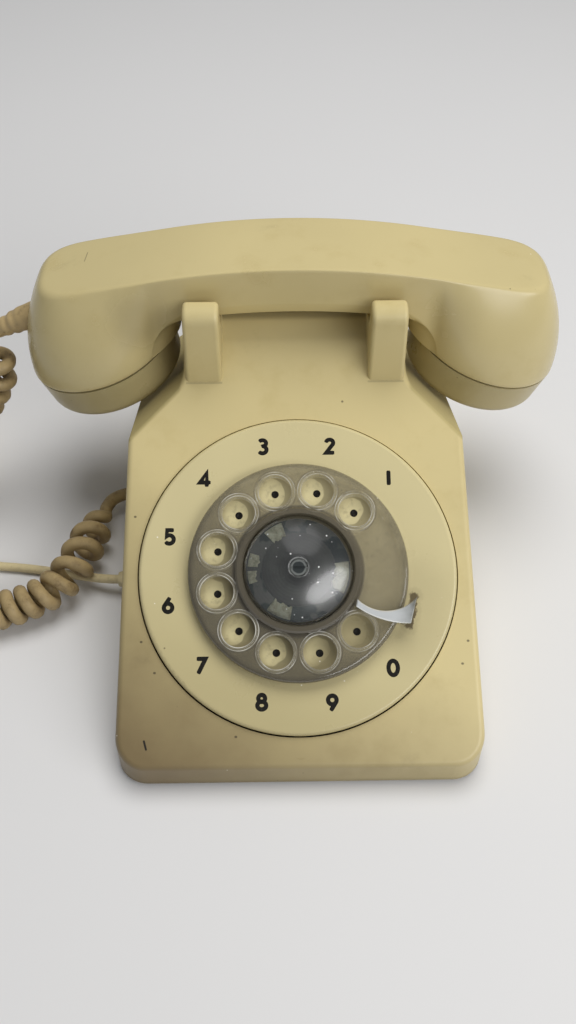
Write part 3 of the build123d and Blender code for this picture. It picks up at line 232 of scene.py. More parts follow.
class Value:
    """A shader socket whose arithmetic adds Math nodes."""

    __add__, __radd__ = operator_pair("ADD")
    __sub__, __rsub__ = operator_pair("SUBTRACT")
    __mul__, __rmul__ = operator_pair("MULTIPLY")
    __truediv__, __rtruediv__ = operator_pair("DIVIDE")
    __pow__, __rpow__ = operator_pair("POWER")

    def __init__(self, paint, socket):
        self.paint = paint
        self.socket = socket

    def math(self, operation, *others):
        sockets = dict(enumerate((self, *others)))
        return self.paint.add("ShaderNodeMath", {"operation": operation}, sockets)


class Paint:
    """A material that is built from expressions on its sockets."""

    def __init__(self, name):
        self.material = bpy.data.materials.new(name)
        self.material.use_nodes = True
        self.tree = self.material.node_tree
        self.tree.nodes.clear()
        self.place = self.add("ShaderNodeTexCoord", output="Object")

    def add(self, kind, settings=None, sockets=None, output=0):
        """Add any node: its settings first, then the values or links of its sockets."""
        made = self.tree.nodes.new(kind)
        for key, value in (settings or {}).items():
            setattr(made, key, value)
        for key, value in (sockets or {}).items():
            if isinstance(value, Value):
                self.tree.links.new(value.socket, made.inputs[key])
            else:
                made.inputs[key].default_value = value
        return Value(self, made.outputs[output])

    def mix(self, factor, first, second):
        """Colour that goes from first to second as factor goes from 0 to 1."""
        def full(colour):
            return colour if isinstance(colour, Value) else (*colour, 1)
        settings = {"data_type": "RGBA", "clamp_factor": True}
        return self.add("ShaderNodeMix", settings, {0: factor, 6: full(first), 7: full(second)}, 2)

    def noise(self, scale, detail=3, roughness=0.5, place=None):
        """Cloudy value from 0 to 1, scale in waves to the metre."""
        sockets = {"Vector": place or self.place, "Scale": scale, "Detail": detail, "Roughness": roughness}
        return self.add("ShaderNodeTexNoise", {}, sockets)

    def ramp(self, value, low, high, smooth=True):
        """0 below low, 1 above high."""
        settings = {"interpolation_type": "SMOOTHSTEP" if smooth else "LINEAR", "clamp": True}
        return self.add("ShaderNodeMapRange", settings, {0: value, 1: low, 2: high, 3: 0.0, 4: 1.0})

    def specks(self, scale, size, share):
        """Small round specks: 1 inside a speck, in the given share of the cells."""
        cell = self.add("ShaderNodeTexVoronoi", {}, {"Vector": self.place, "Scale": scale})
        tint = self.add("ShaderNodeSeparateColor", {}, {0: self.cell_colour(scale)})
        return self.ramp(cell, size, size * 0.6) * tint.math("LESS_THAN", share)

    def cell_colour(self, scale):
        sockets = {"Vector": self.place, "Scale": scale}
        return self.add("ShaderNodeTexVoronoi", {}, sockets, "Color")

    def axis(self, index):
        return self.add("ShaderNodeSeparateXYZ", {}, {0: self.place}, index)

    def distance(self, point):
        """Distance of the surface from a point, in metres."""
        settings = {"operation": "DISTANCE"}
        return self.add("ShaderNodeVectorMath", settings, {0: self.place, 1: point}, "Value")

    def along(self, origin, direction):
        """How far the surface lies from origin along a direction."""
        shifted = self.add("ShaderNodeVectorMath", {"operation": "SUBTRACT"}, {0: self.place, 1: origin})
        settings = {"operation": "DOT_PRODUCT"}
        return self.add("ShaderNodeVectorMath", settings, {0: shifted, 1: direction}, "Value")

    def dial_radius(self):
        """Distance from the dial's axis."""
        u = self.along(dial_centre, dial_right)
        v = self.along(dial_centre, dial_up)
        return (u * u + v * v) ** 0.5

    def hole_distance(self, right=0.0, higher=0.0):
        """Distance across the dial from the middle of the nearest finger hole, or a point beside it."""
        u = self.along(dial_centre, dial_right)
        v = self.along(dial_centre, dial_up)
        angle = (v.math("ARCTAN2", u) * (360 / TURN) + 360.0).math("MODULO", 360.0)
        hole = ((angle - FIRST_HOLE) / HOLE_STEP).math("ROUND").math("MAXIMUM", 0.0).math("MINIMUM", 9.0)
        middle = (hole * HOLE_STEP + FIRST_HOLE) * (TURN / 360)
        across = u - middle.math("COSINE") * (HOLE_CIRCLE * MM) - right * MM
        up = v - middle.math("SINE") * (HOLE_CIRCLE * MM) - higher * MM
        return (across * across + up * up) ** 0.5

    def band(self, value, low, high, soft):
        """1 between low and high, falling to 0 over the soft width outside."""
        return self.ramp(value, low - soft, low) * self.ramp(value, high + soft, high)

    def bump(self, height, distance, strength=1.0):
        sockets = {"Strength": strength, "Distance": distance, "Height": height}
        return self.add("ShaderNodeBump", {}, sockets)

    def segment(self, start, end):
        """Distance from the straight line between two points."""
        start, end = np.array(start) * MM, np.array(end) * MM
        span = float(np.linalg.norm(end - start))
        run = self.along(tuple(start), tuple((end - start) / span))
        held = run.math("MAXIMUM", 0.0).math("MINIMUM", span)
        whole = self.distance(tuple(start))
        return (whole * whole - 2.0 * run * held + held * held).math("MAXIMUM", 0.0) ** 0.5

    def shader(self, **sockets):
        """One surface shader with its sockets set or linked."""
        named = {key.replace("_", " "): value for key, value in sockets.items()}
        named = {key: (*value, 1) if isinstance(value, tuple) and len(value) == 3 else value
                 for key, value in named.items()}
        return self.add("ShaderNodeBsdfPrincipled", {}, named)

    def finish(self, **sockets):
        """Join the sockets to one surface shader and return the material."""
        return self.add_output(self.shader(**sockets))

    def add_output(self, shader):
        end = self.tree.nodes.new("ShaderNodeOutputMaterial")
        self.tree.links.new(shader.socket, end.inputs[0])
        return self.material


def dressed(nodes, material):
    """Give CAD nodes a finish."""
    for name in nodes:
        slots = frame["nodes"][name].data.materials
        slots.clear()
        slots.append(material)


def metres(point):
    """A point given in millimetres, in metres."""
    return tuple(c * MM for c in point)


def smoothstep(value):
    held = np.clip(value, 0, 1)
    return held * held * (3 - 2 * held)


def dial_points(u, v, w):
    """Points of the dial's frame, given in metres, as points of the scene."""
    return (dial_centre + u[..., None] * dial_right + v[..., None] * dial_up + w[..., None] * dial_out)


def grid_faces(rows, columns, wrap_rows=False, wrap_columns=False):
    """Quads of a grid of points, joined end to end where it wraps."""
    down = np.arange(rows if wrap_rows else rows - 1)
    across = np.arange(columns if wrap_columns else columns - 1)
    i, j = np.meshgrid(down, across, indexing="ij")
    after_i, after_j = (i + 1) % rows, (j + 1) % columns
    quads = (i * columns + j, after_i * columns + j, after_i * columns + after_j, i * columns + after_j)
    return np.stack(quads, -1).reshape(-1, 4)


def new_piece(name, points, faces, material, smooth=True):
    """Mesh object at the origin from arrays of points and faces."""
    mesh = bpy.data.meshes.new(name)
    mesh.from_pydata(np.asarray(points, float).reshape(-1, 3), [], [list(map(int, f)) for f in faces])
    mesh.polygons.foreach_set("use_smooth", np.full(len(mesh.polygons), smooth))
    mesh.materials.append(material)
    mesh.update()
    piece = bpy.data.objects.new(name, mesh)
    bpy.context.scene.collection.objects.link(piece)
    return piece


def weld(piece, gap):
    """Join the points of a mesh that lie closer together than the gap."""
    bm = bmesh.new()
    bm.from_mesh(piece.data)
    bmesh.ops.remove_doubles(bm, verts=bm.verts, dist=gap)
    bmesh.ops.recalc_face_normals(bm, faces=bm.faces)
    bm.to_mesh(piece.data)
    bm.free()


def route_curve(name, points):
    """One open NURBS spline with the given points, in metres, as its control points."""
    curve = bpy.data.curves.new(name, "CURVE")
    curve.dimensions = "3D"
    curve.resolution_u = 8
    spline = curve.splines.new("NURBS")
    spline.points.add(len(points) - 1)
    flat = np.ones((len(points), 4))
    flat[:, :3] = points
    spline.points.foreach_set("co", flat.ravel())
    spline.order_u = 3
    spline.use_endpoint_u = True
    piece = bpy.data.objects.new(name, curve)
    bpy.context.scene.collection.objects.link(piece)
    return piece


def route_line(points, count):
    """Points at even steps along the NURBS spline of a route."""
    piece = route_curve("route", points)
    piece.data.resolution_u = 24
    bpy.context.view_layer.update()
    mesh = bpy.data.meshes.new_from_object(piece)
    line = np.zeros(len(mesh.vertices) * 3)
    mesh.vertices.foreach_get("co", line)
    line = line.reshape(-1, 3)
    bpy.data.objects.remove(piece)
    bpy.data.meshes.remove(mesh)
    steps = np.linalg.norm(np.diff(line, axis=0), axis=1)
    line = line[np.concatenate([[True], steps > 1e-9])]
    steps = steps[steps > 1e-9]
    run = np.concatenate([[0], np.cumsum(steps)])
    even = np.linspace(0, run[-1], count)
    return np.stack([np.interp(even, run, line[:, k]) for k in range(3)], 1), run[-1]


def carried_frames(line):
    """Tangent and two side directions along a line, carried with least twist."""
    tangents = np.gradient(line, axis=0)
    tangents /= np.linalg.norm(tangents, axis=1)[:, None]
    sides = np.zeros_like(line)
    side = np.cross((0, 0, 1), tangents[0])
    for index, tangent in enumerate(tangents):
        side = side - tangent * (side @ tangent)
        side = side / np.linalg.norm(side)
        sides[index] = side
    return tangents, sides, np.cross(tangents, sides)


def tube(line, radius, around):
    """Tube: each point of a line plus radius times a circle in its side directions, with flat ends."""
    _, sides, ups = carried_frames(line)
    angle = np.linspace(0, TURN, around, endpoint=False)
    ring = sides[:, None] * np.cos(angle)[None, :, None] + ups[:, None] * np.sin(angle)[None, :, None]
    points = line[:, None] + ring * np.broadcast_to(radius, len(line))[:, None, None]
    faces = grid_faces(len(line), around, wrap_columns=True).tolist()
    last = (len(line) - 1) * around
    faces.append(list(range(around))[::-1])
    faces.append(list(range(last, last + around)))
    return points.reshape(-1, 3), faces


# Finishes


def cream_plastic(name, colour, shaded_points=(), low_edge=None, stain=None, scratches=(), shaded_facets=(),
                  gloss=0.30):
    """Aged glossy plastic: cloudy yellowing, specks, grime, and painted shade near given points and on dull
    side faces.
    """
    paint = Paint(name)
    cloud = paint.noise(9, 3)
    smudge = paint.noise(55, 5, 0.6)
    base = Vector(colour)
    shade = paint.mix(paint.ramp(cloud, 0.3, 0.7), tuple(base * 0.93), tuple(base * 1.05))
    brown = (base.x * 0.80, base.y * 0.76, base.z * 0.64)
    shade = paint.mix(paint.ramp(smudge, 0.50, 0.76) * 0.35, shade, brown)
    # Darker towards one given side: partly ageing, partly painted shade.
    if stain:
        origin, direction, reach, strength = stain
        side = paint.along(metres(origin), direction) + (smudge - 0.5) * 0.02
        shade = paint.mix(paint.ramp(side, 0.0, reach * MM, smooth=False) * strength, shade,
                          (base.x * 0.30, base.y * 0.26, base.z * 0.25))
    # Random grime, with painted shade added round the given points.
    dirt = paint.ramp(paint.noise(24, 6, 0.7), 0.62, 0.80) * 0.22
    for point, reach, strength in shaded_points:
        near = paint.distance(metres(point)) + (smudge - 0.5) * (reach * 0.7 * MM)
        dirt = dirt.math("MAXIMUM", paint.ramp(near, reach * MM, reach * 0.25 * MM) * strength)
    if low_edge:
        near = paint.ramp(paint.axis(2) + (smudge - 0.5) * 0.004, low_edge * MM, 0.5 * MM) * 0.45
        dirt = dirt.math("MAXIMUM", near)
    shade = paint.mix(dirt, shade, tuple(colours().grime))
    dull = 0.0
    # Painted shade, with some dirt: the given side faces are darkened and made duller.
    for point, normal in shaded_facets:
        inside = paint.along(metres(point), normal)
        beside = paint.along((0, 0, 0), (math.copysign(1, normal[0]), 0, 0))
        dull = paint.ramp(inside, -1.4 * MM, -0.3 * MM) * paint.ramp(beside, 44.2 * MM, 46 * MM) + dull
    if shaded_facets:
        shade = paint.mix(dull * 0.45, shade, (base.x * 0.42, base.y * 0.42, base.z * 0.30))
    # Dark lines: scratches, chips and dashes, and painted shadow where the list gives it.
    for start, end, half, strength in scratches:
        line = paint.ramp(paint.segment(start, end), half * MM, half * 0.5 * MM)
        shade = paint.mix(line * strength, shade, (0.016, 0.013, 0.010))
    dark = paint.specks(110, 0.065, 0.12)
    pale = paint.specks(150, 0.05, 0.08)
    shade = paint.mix(dark * 0.8, shade, tuple(colours().grime))
    shade = paint.mix(pale * 0.7, shade, (0.80, 0.76, 0.62))
    rough = gloss + (smudge - 0.5) * 0.22 + pale * 0.2 + dirt * 0.25 + dull * 0.6
    grain = paint.bump(paint.noise(1400, 2), 0.00004, 0.35)
    return paint.finish(Base_Color=shade, Roughness=rough, Normal=grain, IOR=1.5)


def plate_plastic():
    """Number plate: paler cream, lighter in the finger holes as painted light and wear, painted shade towards
    the lower left and in crescents in the holes, and dirt with painted shadow where the finger stop drops in.
    """
    paint = Paint("number_plate_plastic")
    radius = paint.dial_radius()
    from_hole = paint.hole_distance()
    smudge = paint.noise(70, 5, 0.6)
    base = Vector(colours().plate)
    cloud = paint.noise(14, 3)
    shade = paint.mix(paint.ramp(cloud, 0.3, 0.7), tuple(base * 0.95), tuple(base * 1.04))
    # Painted shade: the plate darker towards its lower left.
    low = paint.ramp(paint.along(dial_centre, tuple(dial_right * -0.42 - dial_up * 0.91)), 0.002, 0.06)
    shade = paint.mix(low * 0.62, shade, (base.x * 0.66, base.y * 0.64, base.z * 0.58))
    soiled = paint.ramp(paint.along(dial_centre, tuple(dial_right * 0.8 - dial_up * 0.6)), 0.018, 0.028)
    # Painted light, with some rubbing: paler in the middle of each finger hole.
    rubbed_and_lit = paint.ramp(from_hole + (smudge - 0.5) * 0.004, 0.0066, 0.0040) * (1 - soiled)
    shade = paint.mix(rubbed_and_lit * 0.55, shade, (0.80, 0.71, 0.40))
    hub = paint.ramp(radius + (smudge - 0.5) * 0.010, 0.0275, 0.020) * 0.5
    mottle = paint.ramp(paint.noise(330, 5, 0.65), 0.48, 0.72) * paint.ramp(radius, 0.0405, 0.039) * 0.30
    # Painted shade: brown crescents on one side inside each finger hole, below the wheel's wall.
    beside = paint.hole_distance(-1.9, 0.7) + (paint.noise(90, 2) - 0.5) * 0.006
    sickle_shade = paint.ramp(beside, 0.0054, 0.0059) * paint.ramp(from_hole, 0.0068, 0.0062) * 0.50
    ground = paint.ramp(from_hole, 0.0070, 0.0050) * soiled * 0.40
    # Dirt and painted shade together in one mask.
    dirt = hub.math("MAXIMUM", mottle).math("MAXIMUM", sickle_shade).math("MAXIMUM", ground)
    # Dirt and painted shadow round the finger stop's root, darkest where it drops into the plate.
    across, up, out = np.array([(43.2, 40.8), (-9.4, -20.2), (1.4, 1.4)]) * MM
    root = dial_points(across, up, out) / MM
    near = paint.segment(*root) + (paint.noise(200, 5, 0.7) - 0.5) * 0.005
    dirt = dirt.math("MAXIMUM", paint.ramp(near, 0.0240, 0.0030) * 0.19)
    dirt = dirt.math("MAXIMUM", paint.ramp(near, 0.0060, 0.0020) * 0.30)
    dirt = dirt.math("MAXIMUM", paint.ramp(near, 0.0020, 0.0010) * 0.95)
    shade = paint.mix(dirt, shade, (0.10, 0.075, 0.038))
    pale = paint.specks(160, 0.055, 0.70)
    dark = paint.specks(120, 0.05, 0.08)
    shade = paint.mix(dark * 0.7, shade, tuple(colours().grime))
    shade = paint.mix(pale * 0.9, shade, (0.86, 0.82, 0.70))
    rough = 0.30 + (smudge - 0.5) * 0.2
    grain = paint.bump(paint.noise(1200, 2), 0.00003, 0.3)
    return paint.finish(Base_Color=shade, Roughness=rough, Normal=grain, IOR=1.5)


def smoky_plastic():
    """Finger wheel: clear plastic gone grey-brown, with painted highlights on the lips round its holes,
    painted shade round their feet, a painted reflection leaving it darker towards the lower left, and dirt at
    hub and rim.
    """
    paint = Paint("smoky_clear_plastic")
    radius = paint.dial_radius()
    from_hole = paint.hole_distance()
    smudge = paint.noise(120, 5, 0.65)
    cloud = paint.noise(45, 3)
    ring = paint.band(radius, 0.0203, 0.0240, 0.0010)
    rim = paint.ramp(radius + (smudge - 0.5) * 0.002, 0.0378, 0.0400)
    # Painted highlights: paler lips round the finger holes, with bright lines at their inner and outer edges.
    lip_highlight = paint.band(from_hole, 0.0062, 0.0076, 0.0002)
    inner = paint.band(from_hole, 0.0063, 0.0064, 0.0002)
    outer = paint.band(from_hole, 0.0074, 0.0075, 0.0002)
    crest = inner.math("MAXIMUM", outer) * paint.ramp(paint.noise(160, 3), 0.34, 0.66)
    # Painted shade: a dark line round the foot of each lip.
    foot = paint.band(from_hole, 0.0078, 0.0081, 0.0003) * paint.ramp(paint.noise(140, 2), 0.30, 0.60)
    # Painted reflection: the wheel darker and more opaque towards its lower left, away from the window's
    # sheen.
    lower = paint.ramp(paint.along(dial_centre, tuple(dial_up * 0.8 + dial_right * 0.6)), 0.020, -0.035)
    tint = Vector(colours().wheel)
    shade = paint.mix(paint.ramp(smudge, 0.35, 0.75), tuple(tint * 1.15), tuple(tint * 0.85))
    shade = paint.mix(lower * 0.70, shade, tuple(tint * 0.36))
    shade = paint.mix((ring * 0.75).math("MAXIMUM", rim * 0.55), shade, (0.060, 0.050, 0.034))
    shade = paint.mix(lip_highlight * 0.30, shade, (0.44, 0.41, 0.32))
    shade = paint.mix(foot * 0.55, shade, (0.075, 0.062, 0.042))
    shade = paint.mix(crest * 0.80, shade, (0.78, 0.76, 0.68))
    pale = paint.specks(170, 0.05, 0.50)
    shade = paint.mix(pale, shade, (0.8, 0.78, 0.7))
    alpha = (0.29 + (cloud - 0.5) * 0.20 + ring * 0.42 + rim * 0.24 + lower * 0.30
             - lip_highlight * 0.04 + foot * 0.22 + crest * 0.42 + pale * 0.3)
    rough = 0.12 + (smudge - 0.5) * 0.14
    turned = paint.bump((radius * 9000.0).math("SINE") * ring, 0.00003, 0.5)
    return paint.finish(Base_Color=shade, Roughness=rough, Alpha=alpha, IOR=1.55, Normal=turned,
                        Coat_Weight=0.8, Coat_Roughness=0.05)


def dome_plastic():
    """Clear dome: see-through plastic with a hard gloss, white dust and a pale ring round its screw."""
    paint = Paint("clear_dome_plastic")
    radius = paint.dial_radius()
    haze = paint.noise(260, 5, 0.7)
    pale = paint.specks(330, 0.12, 0.55)
    seat = paint.band(radius, 0.0023, 0.0036, 0.0004) * paint.ramp(haze, 0.35, 0.55)
    share = pale.math("MAXIMUM", seat * 0.7).math("MAXIMUM", paint.ramp(haze, 0.58, 0.85) * 0.06)
    dust = paint.shader(Base_Color=paint.mix(seat, (0.85, 0.85, 0.82), (0.22, 0.23, 0.22)), Roughness=0.6)
    clear = paint.shader(Base_Color=(0.80, 0.82, 0.80), Roughness=0.13, IOR=1.46, Transmission_Weight=1.0,
                         Coat_Weight=1.0, Coat_IOR=1.85, Coat_Roughness=0.28)
    return paint.add_output(paint.add("ShaderNodeMixShader", {}, {0: share, 1: clear, 2: dust}))


def metal(name, colour, rough):
    """Plated or bare metal with fine scratches and dull patches."""
    paint = Paint(name)
    stretch = paint.add("ShaderNodeMapping", {}, {"Vector": paint.place, "Scale": (1.0, 0.12, 0.12)})
    lines = paint.noise(900, 3, 0.6, stretch)
    patch = paint.noise(80, 4, 0.6)
    base = Vector(colour)
    shade = paint.mix(paint.ramp(patch, 0.5, 0.8) * 0.25, tuple(base), tuple(base * 0.45))
    roughness = rough + (lines - 0.5) * 0.12 + paint.ramp(patch, 0.5, 0.8) * 0.12
    grain = paint.bump(lines, 0.00002, 0.3)
    return paint.finish(Base_Color=shade, Metallic=1.0, Roughness=roughness, Normal=grain)


def stop_plating():
    """Finger stop: brushed plating, darker towards its bent end, with painted shade in brown where it drops
    into the plate.
    """
    paint = Paint("worn_plating")
    stretch = paint.add("ShaderNodeMapping", {}, {"Vector": paint.place, "Scale": (0.15, 1.0, 1.0)})
    lines = paint.noise(1500, 3, 0.6, stretch)
    across = paint.along(dial_centre, tuple(dial_right)) + (paint.noise(260, 4, 0.6) - 0.5) * 0.004
    shade = paint.mix(paint.ramp(across, 0.034, 0.044), (0.97, 0.99, 0.98), (0.40, 0.41, 0.38))
    # Painted shade where the stop drops into the plate.
    shade = paint.mix(paint.ramp(across, 0.0395, 0.0440) * 0.75, shade, (0.14, 0.12, 0.08))
    rough = 0.20 + (lines - 0.5) * 0.25
    grain = paint.bump(lines, 0.00003, 0.5)
    return paint.finish(Base_Color=shade, Metallic=0.6, Roughness=rough, Normal=grain)


def dark_screw():
    """Dull screw head, dark in the middle with a pale dusty edge."""
    paint = Paint("dark_screw")
    edge = paint.ramp(paint.dial_radius() + (paint.noise(700, 3) - 0.5) * 0.0008, 0.0020, 0.0024)
    shade = paint.mix(edge, (0.030, 0.036, 0.036), (0.17, 0.18, 0.17))
    return paint.finish(Base_Color=shade, Metallic=0.3, Roughness=0.55 - edge * 0.05)


def moulding(name, colour, rough):
    """Plain moulded plastic or rubber with a fine grain."""
    paint = Paint(name)
    patch = paint.noise(90, 4, 0.6)
    base = Vector(colour)
    rubbed = base * 1.5 + Vector((0.01, 0.01, 0.01))
    shade = paint.mix(paint.ramp(patch, 0.35, 0.75), tuple(base), tuple(rubbed))
    grain = paint.bump(paint.noise(1800, 2), 0.00005, 0.4)
    return paint.finish(Base_Color=shade, Roughness=rough + (patch - 0.5) * 0.15, Normal=grain)


def cord_jacket(name, colour, dirt_share, rough):
    """Worn vinyl cord: blotches of brown dirt, paler rubbed patches and a dull gloss."""
    paint = Paint(name)
    blotch = paint.noise(130, 5, 0.65)
    streak = paint.noise(420, 3, 0.6)
    base = Vector(colour)
    shade = paint.mix(paint.ramp(blotch, 0.3, 0.65), tuple(base * 1.18), tuple(base))
    dark = (base.x * 0.42, base.y * 0.36, base.z * 0.32)
    shade = paint.mix(paint.ramp(blotch, 0.50, 0.74) * dirt_share, shade, dark)
    shade = paint.mix(paint.ramp(streak, 0.60, 0.78) * dirt_share * 0.8, shade, dark)
    grain = paint.bump(paint.noise(900, 3), 0.00012, 0.4)
    return paint.finish(Base_Color=shade, Roughness=rough + (blotch - 0.5) * 0.25, Normal=grain)


def dial_ink():
    """Black filling of the digits, slightly worn."""
    paint = Paint("dial_ink")
    wear = paint.noise(900, 3)
    ink = Vector(colours().ink)
    shade = paint.mix(paint.ramp(wear, 0.55, 0.85), tuple(ink), tuple(ink * 3))
    return paint.finish(Base_Color=shade, Roughness=0.6 + (wear - 0.5) * 0.2, Specular_IOR_Level=0.2)


def card_plate_finish():
    """Dark plate under the dome: dull grey metal, turned rings and a worn middle."""
    paint = Paint("card_plate_metal")
    radius = paint.dial_radius()
    patch = paint.noise(90, 5, 0.6)
    rings = (radius * 5200.0).math("SINE")
    shade = paint.mix(paint.ramp(patch, 0.35, 0.75), (0.029, 0.030, 0.026), (0.066, 0.067, 0.058))
    band = paint.ramp(radius, 0.0129, 0.0133)
    torn = paint.ramp(paint.noise(105, 2), 0.47, 0.51)
    shade = paint.mix(band, shade, paint.mix(torn, (0.085, 0.085, 0.075), (0.012, 0.022, 0.020)))
    rough = 0.42 + (patch - 0.5) * 0.25
    grain = paint.bump(rings, 0.00002, 0.35)
    return paint.finish(Base_Color=shade, Metallic=0.3, Roughness=rough, Normal=grain)


def old_card():
    """Scraps of the paper card, grey-green and stained."""
    paint = Paint("old_card")
    stain = paint.noise(500, 5, 0.7)
    shade = paint.mix(paint.ramp(stain, 0.35, 0.7), (0.50, 0.49, 0.36), (0.26, 0.25, 0.17))
    return paint.finish(Base_Color=shade, Roughness=0.8)


# Shapes


def revolved(profile, around):
    """Surface turned about the dial's axis: radius and height along a profile, angle round it."""
    angle = np.linspace(0, TURN, around, endpoint=False)
    radius, height = np.asarray(profile, float).T
    u = radius[:, None] * np.cos(angle)
    v = radius[:, None] * np.sin(angle)
    w = np.repeat(height[:, None], around, 1)
    return dial_points(u, v, w), grid_faces(len(radius), around, wrap_columns=True)


def joined(parts):
    """Several point and face arrays as one."""
    points, faces, start = [], [], 0
    for part_points, part_faces in parts:
        part_points = np.asarray(part_points).reshape(-1, 3)
        points.append(part_points)
        faces.extend([[int(k) + start for k in face] for face in part_faces])
        start += len(part_points)
    return np.vstack(points), faces


def arc(cx, cy, rx, ry, start, end, count=28):
    """Points of an ellipse's arc from one angle to another, in degrees."""
    angle = np.radians(np.linspace(start, end, count))
    return np.stack([cx + rx * np.cos(angle), cy + ry * np.sin(angle)], 1)


def line(*corners):
    return np.array(corners, float)


def digit_strokes(digit):
    """Centre lines of a digit in a box one unit high, each with whether it is closed."""
    if digit == "1":
        return [(line((0, 0), (0, 1)), False)]
    if digit == "2":
        top = arc(0.0, 0.76, 0.27, 0.24, 165, -28)
        return [(np.vstack([top, line((-0.27, 0.0), (0.29, 0.0))]), False)]
    if digit == "3":
        top = arc(-0.04, 0.77, 0.27, 0.23, 140, -75)
        low = arc(-0.04, 0.27, 0.30, 0.27, 75, -140)
        return [(np.vstack([top, low]), False)]
    if digit == "4":
        return [(line((0.14, 0.0), (0.14, 1.0), (-0.36, 0.27), (0.38, 0.27)), False)]
    if digit == "5":
        bowl = arc(-0.04, 0.31, 0.32, 0.31, 118, -140)
        return [(np.vstack([line((0.24, 1.0), (-0.19, 1.0), (-0.22, 0.56)), bowl]), False)]
    if digit == "6":
        bowl = arc(0, 0.30, 0.30, 0.30, 0, 360, 40)[:-1]
        return [(bowl, True), (line((-0.27, 0.43), (0.10, 1.0)), False)]
    if digit == "7":
        return [(line((-0.29, 1.0), (0.29, 1.0), (-0.20, 0.0)), False)]
    if digit == "8":
        return [
            (arc(0, 0.76, 0.24, 0.24, 0, 360, 36)[:-1], True),
            (arc(0, 0.27, 0.31, 0.27, 0, 360, 40)[:-1], True),
        ]
    if digit == "9":
        bowl = arc(0, 0.70, 0.30, 0.30, 0, 360, 40)[:-1]
        return [(bowl, True), (line((0.27, 0.57), (-0.10, 0.0)), False)]
    return [(arc(0, 0.5, 0.33, 0.5, 0, 360, 44)[:-1], True)]


def stroke_ribbon(path, closed, half, height):
    """Low ribbon: a profile of the stroke's width carried along its centre line, mitred at corners."""
    if not closed:
        steps = np.concatenate([[0], np.cumsum(np.linalg.norm(np.diff(path, axis=0), axis=1))])
        keep = np.unique(np.concatenate([steps, [half * 0.35, steps[-1] - half * 0.35]]))
        path = np.stack([np.interp(keep, steps, path[:, k]) for k in range(2)], 1)
        ahead = np.diff(path, axis=0)
        ahead /= np.linalg.norm(ahead, axis=1)[:, None]
        before = np.vstack([ahead[:1], ahead])
        after = np.vstack([ahead, ahead[-1:]])
        path = path.copy()
        path[0] -= ahead[0] * half * 0.3
        path[-1] += ahead[-1] * half * 0.3
    else:
        after = np.roll(path, -1, 0) - path
        after /= np.linalg.norm(after, axis=1)[:, None]
        before = np.roll(after, 1, 0)
    normal = np.stack([-(before + after)[:, 1], (before + after)[:, 0]], 1)
    normal /= np.linalg.norm(normal, axis=1)[:, None]
    flat = np.stack([-after[:, 1], after[:, 0]], 1)
    spread = half / np.clip(np.sum(normal * flat, 1), 0.45, 1)
    if not closed:
        spread[[0, -1]] *= 0.72
    across = np.array([-1.0, -0.86, 0.86, 1.0])
    lift = np.array([0.0, 1.0, 1.0, 0.0]) * height
    points = path[:, None] + normal[:, None] * (spread[:, None] * across)[..., None]
    heights = np.broadcast_to(lift, points.shape[:2])
    faces = grid_faces(len(path), 4, wrap_rows=closed)
    return points, heights, faces[:, ::-1]


def plate_height(radius):
    """Top of the number plate at a radius: flat inside, then a slow climb to its rim."""
    return np.interp(radius, (43.0 * MM, 57.9 * MM), (1.2 * MM, 2.0 * MM))


def coil_points():
    """Wound coil: the radius goes in and out by layer, and the height climbs where it turns back.

    Radius and height follow the number of turns made, angle is that number of full circles, and the
    control points stand a little outside the line because the spline cuts inside them."""
    period = COIL_LAYER_TURNS + COIL_CLIMB_TURNS
    total = COIL_LAYERS * COIL_LAYER_TURNS + (COIL_LAYERS - 1) * COIL_CLIMB_TURNS
    turn = np.arange(0, total + 1e-9, 1 / COIL_POINTS_A_TURN)
    layer = np.minimum(COIL_LAYERS - 1, np.floor(turn / period))
    inside = turn - layer * period
    spiral = np.minimum(1.0, inside / COIL_LAYER_TURNS)
    climb = smoothstep((inside - COIL_LAYER_TURNS) / COIL_CLIMB_TURNS)
    inward = np.where(layer % 2 == 0, spiral, 1 - spiral)
    radius = COIL_INNER + 3 * COIL_STEP * (1 - inward)
    radius = radius / math.cos(math.pi / COIL_POINTS_A_TURN) ** 0.75
    height = COIL_FLOOR + COIL_STEP * (layer + climb)
    return np.stack([
        COIL_CENTRE[0] + radius * np.cos(TURN * turn),
        COIL_CENTRE[1] + radius * np.sin(TURN * turn),
        height,
    ], 1)


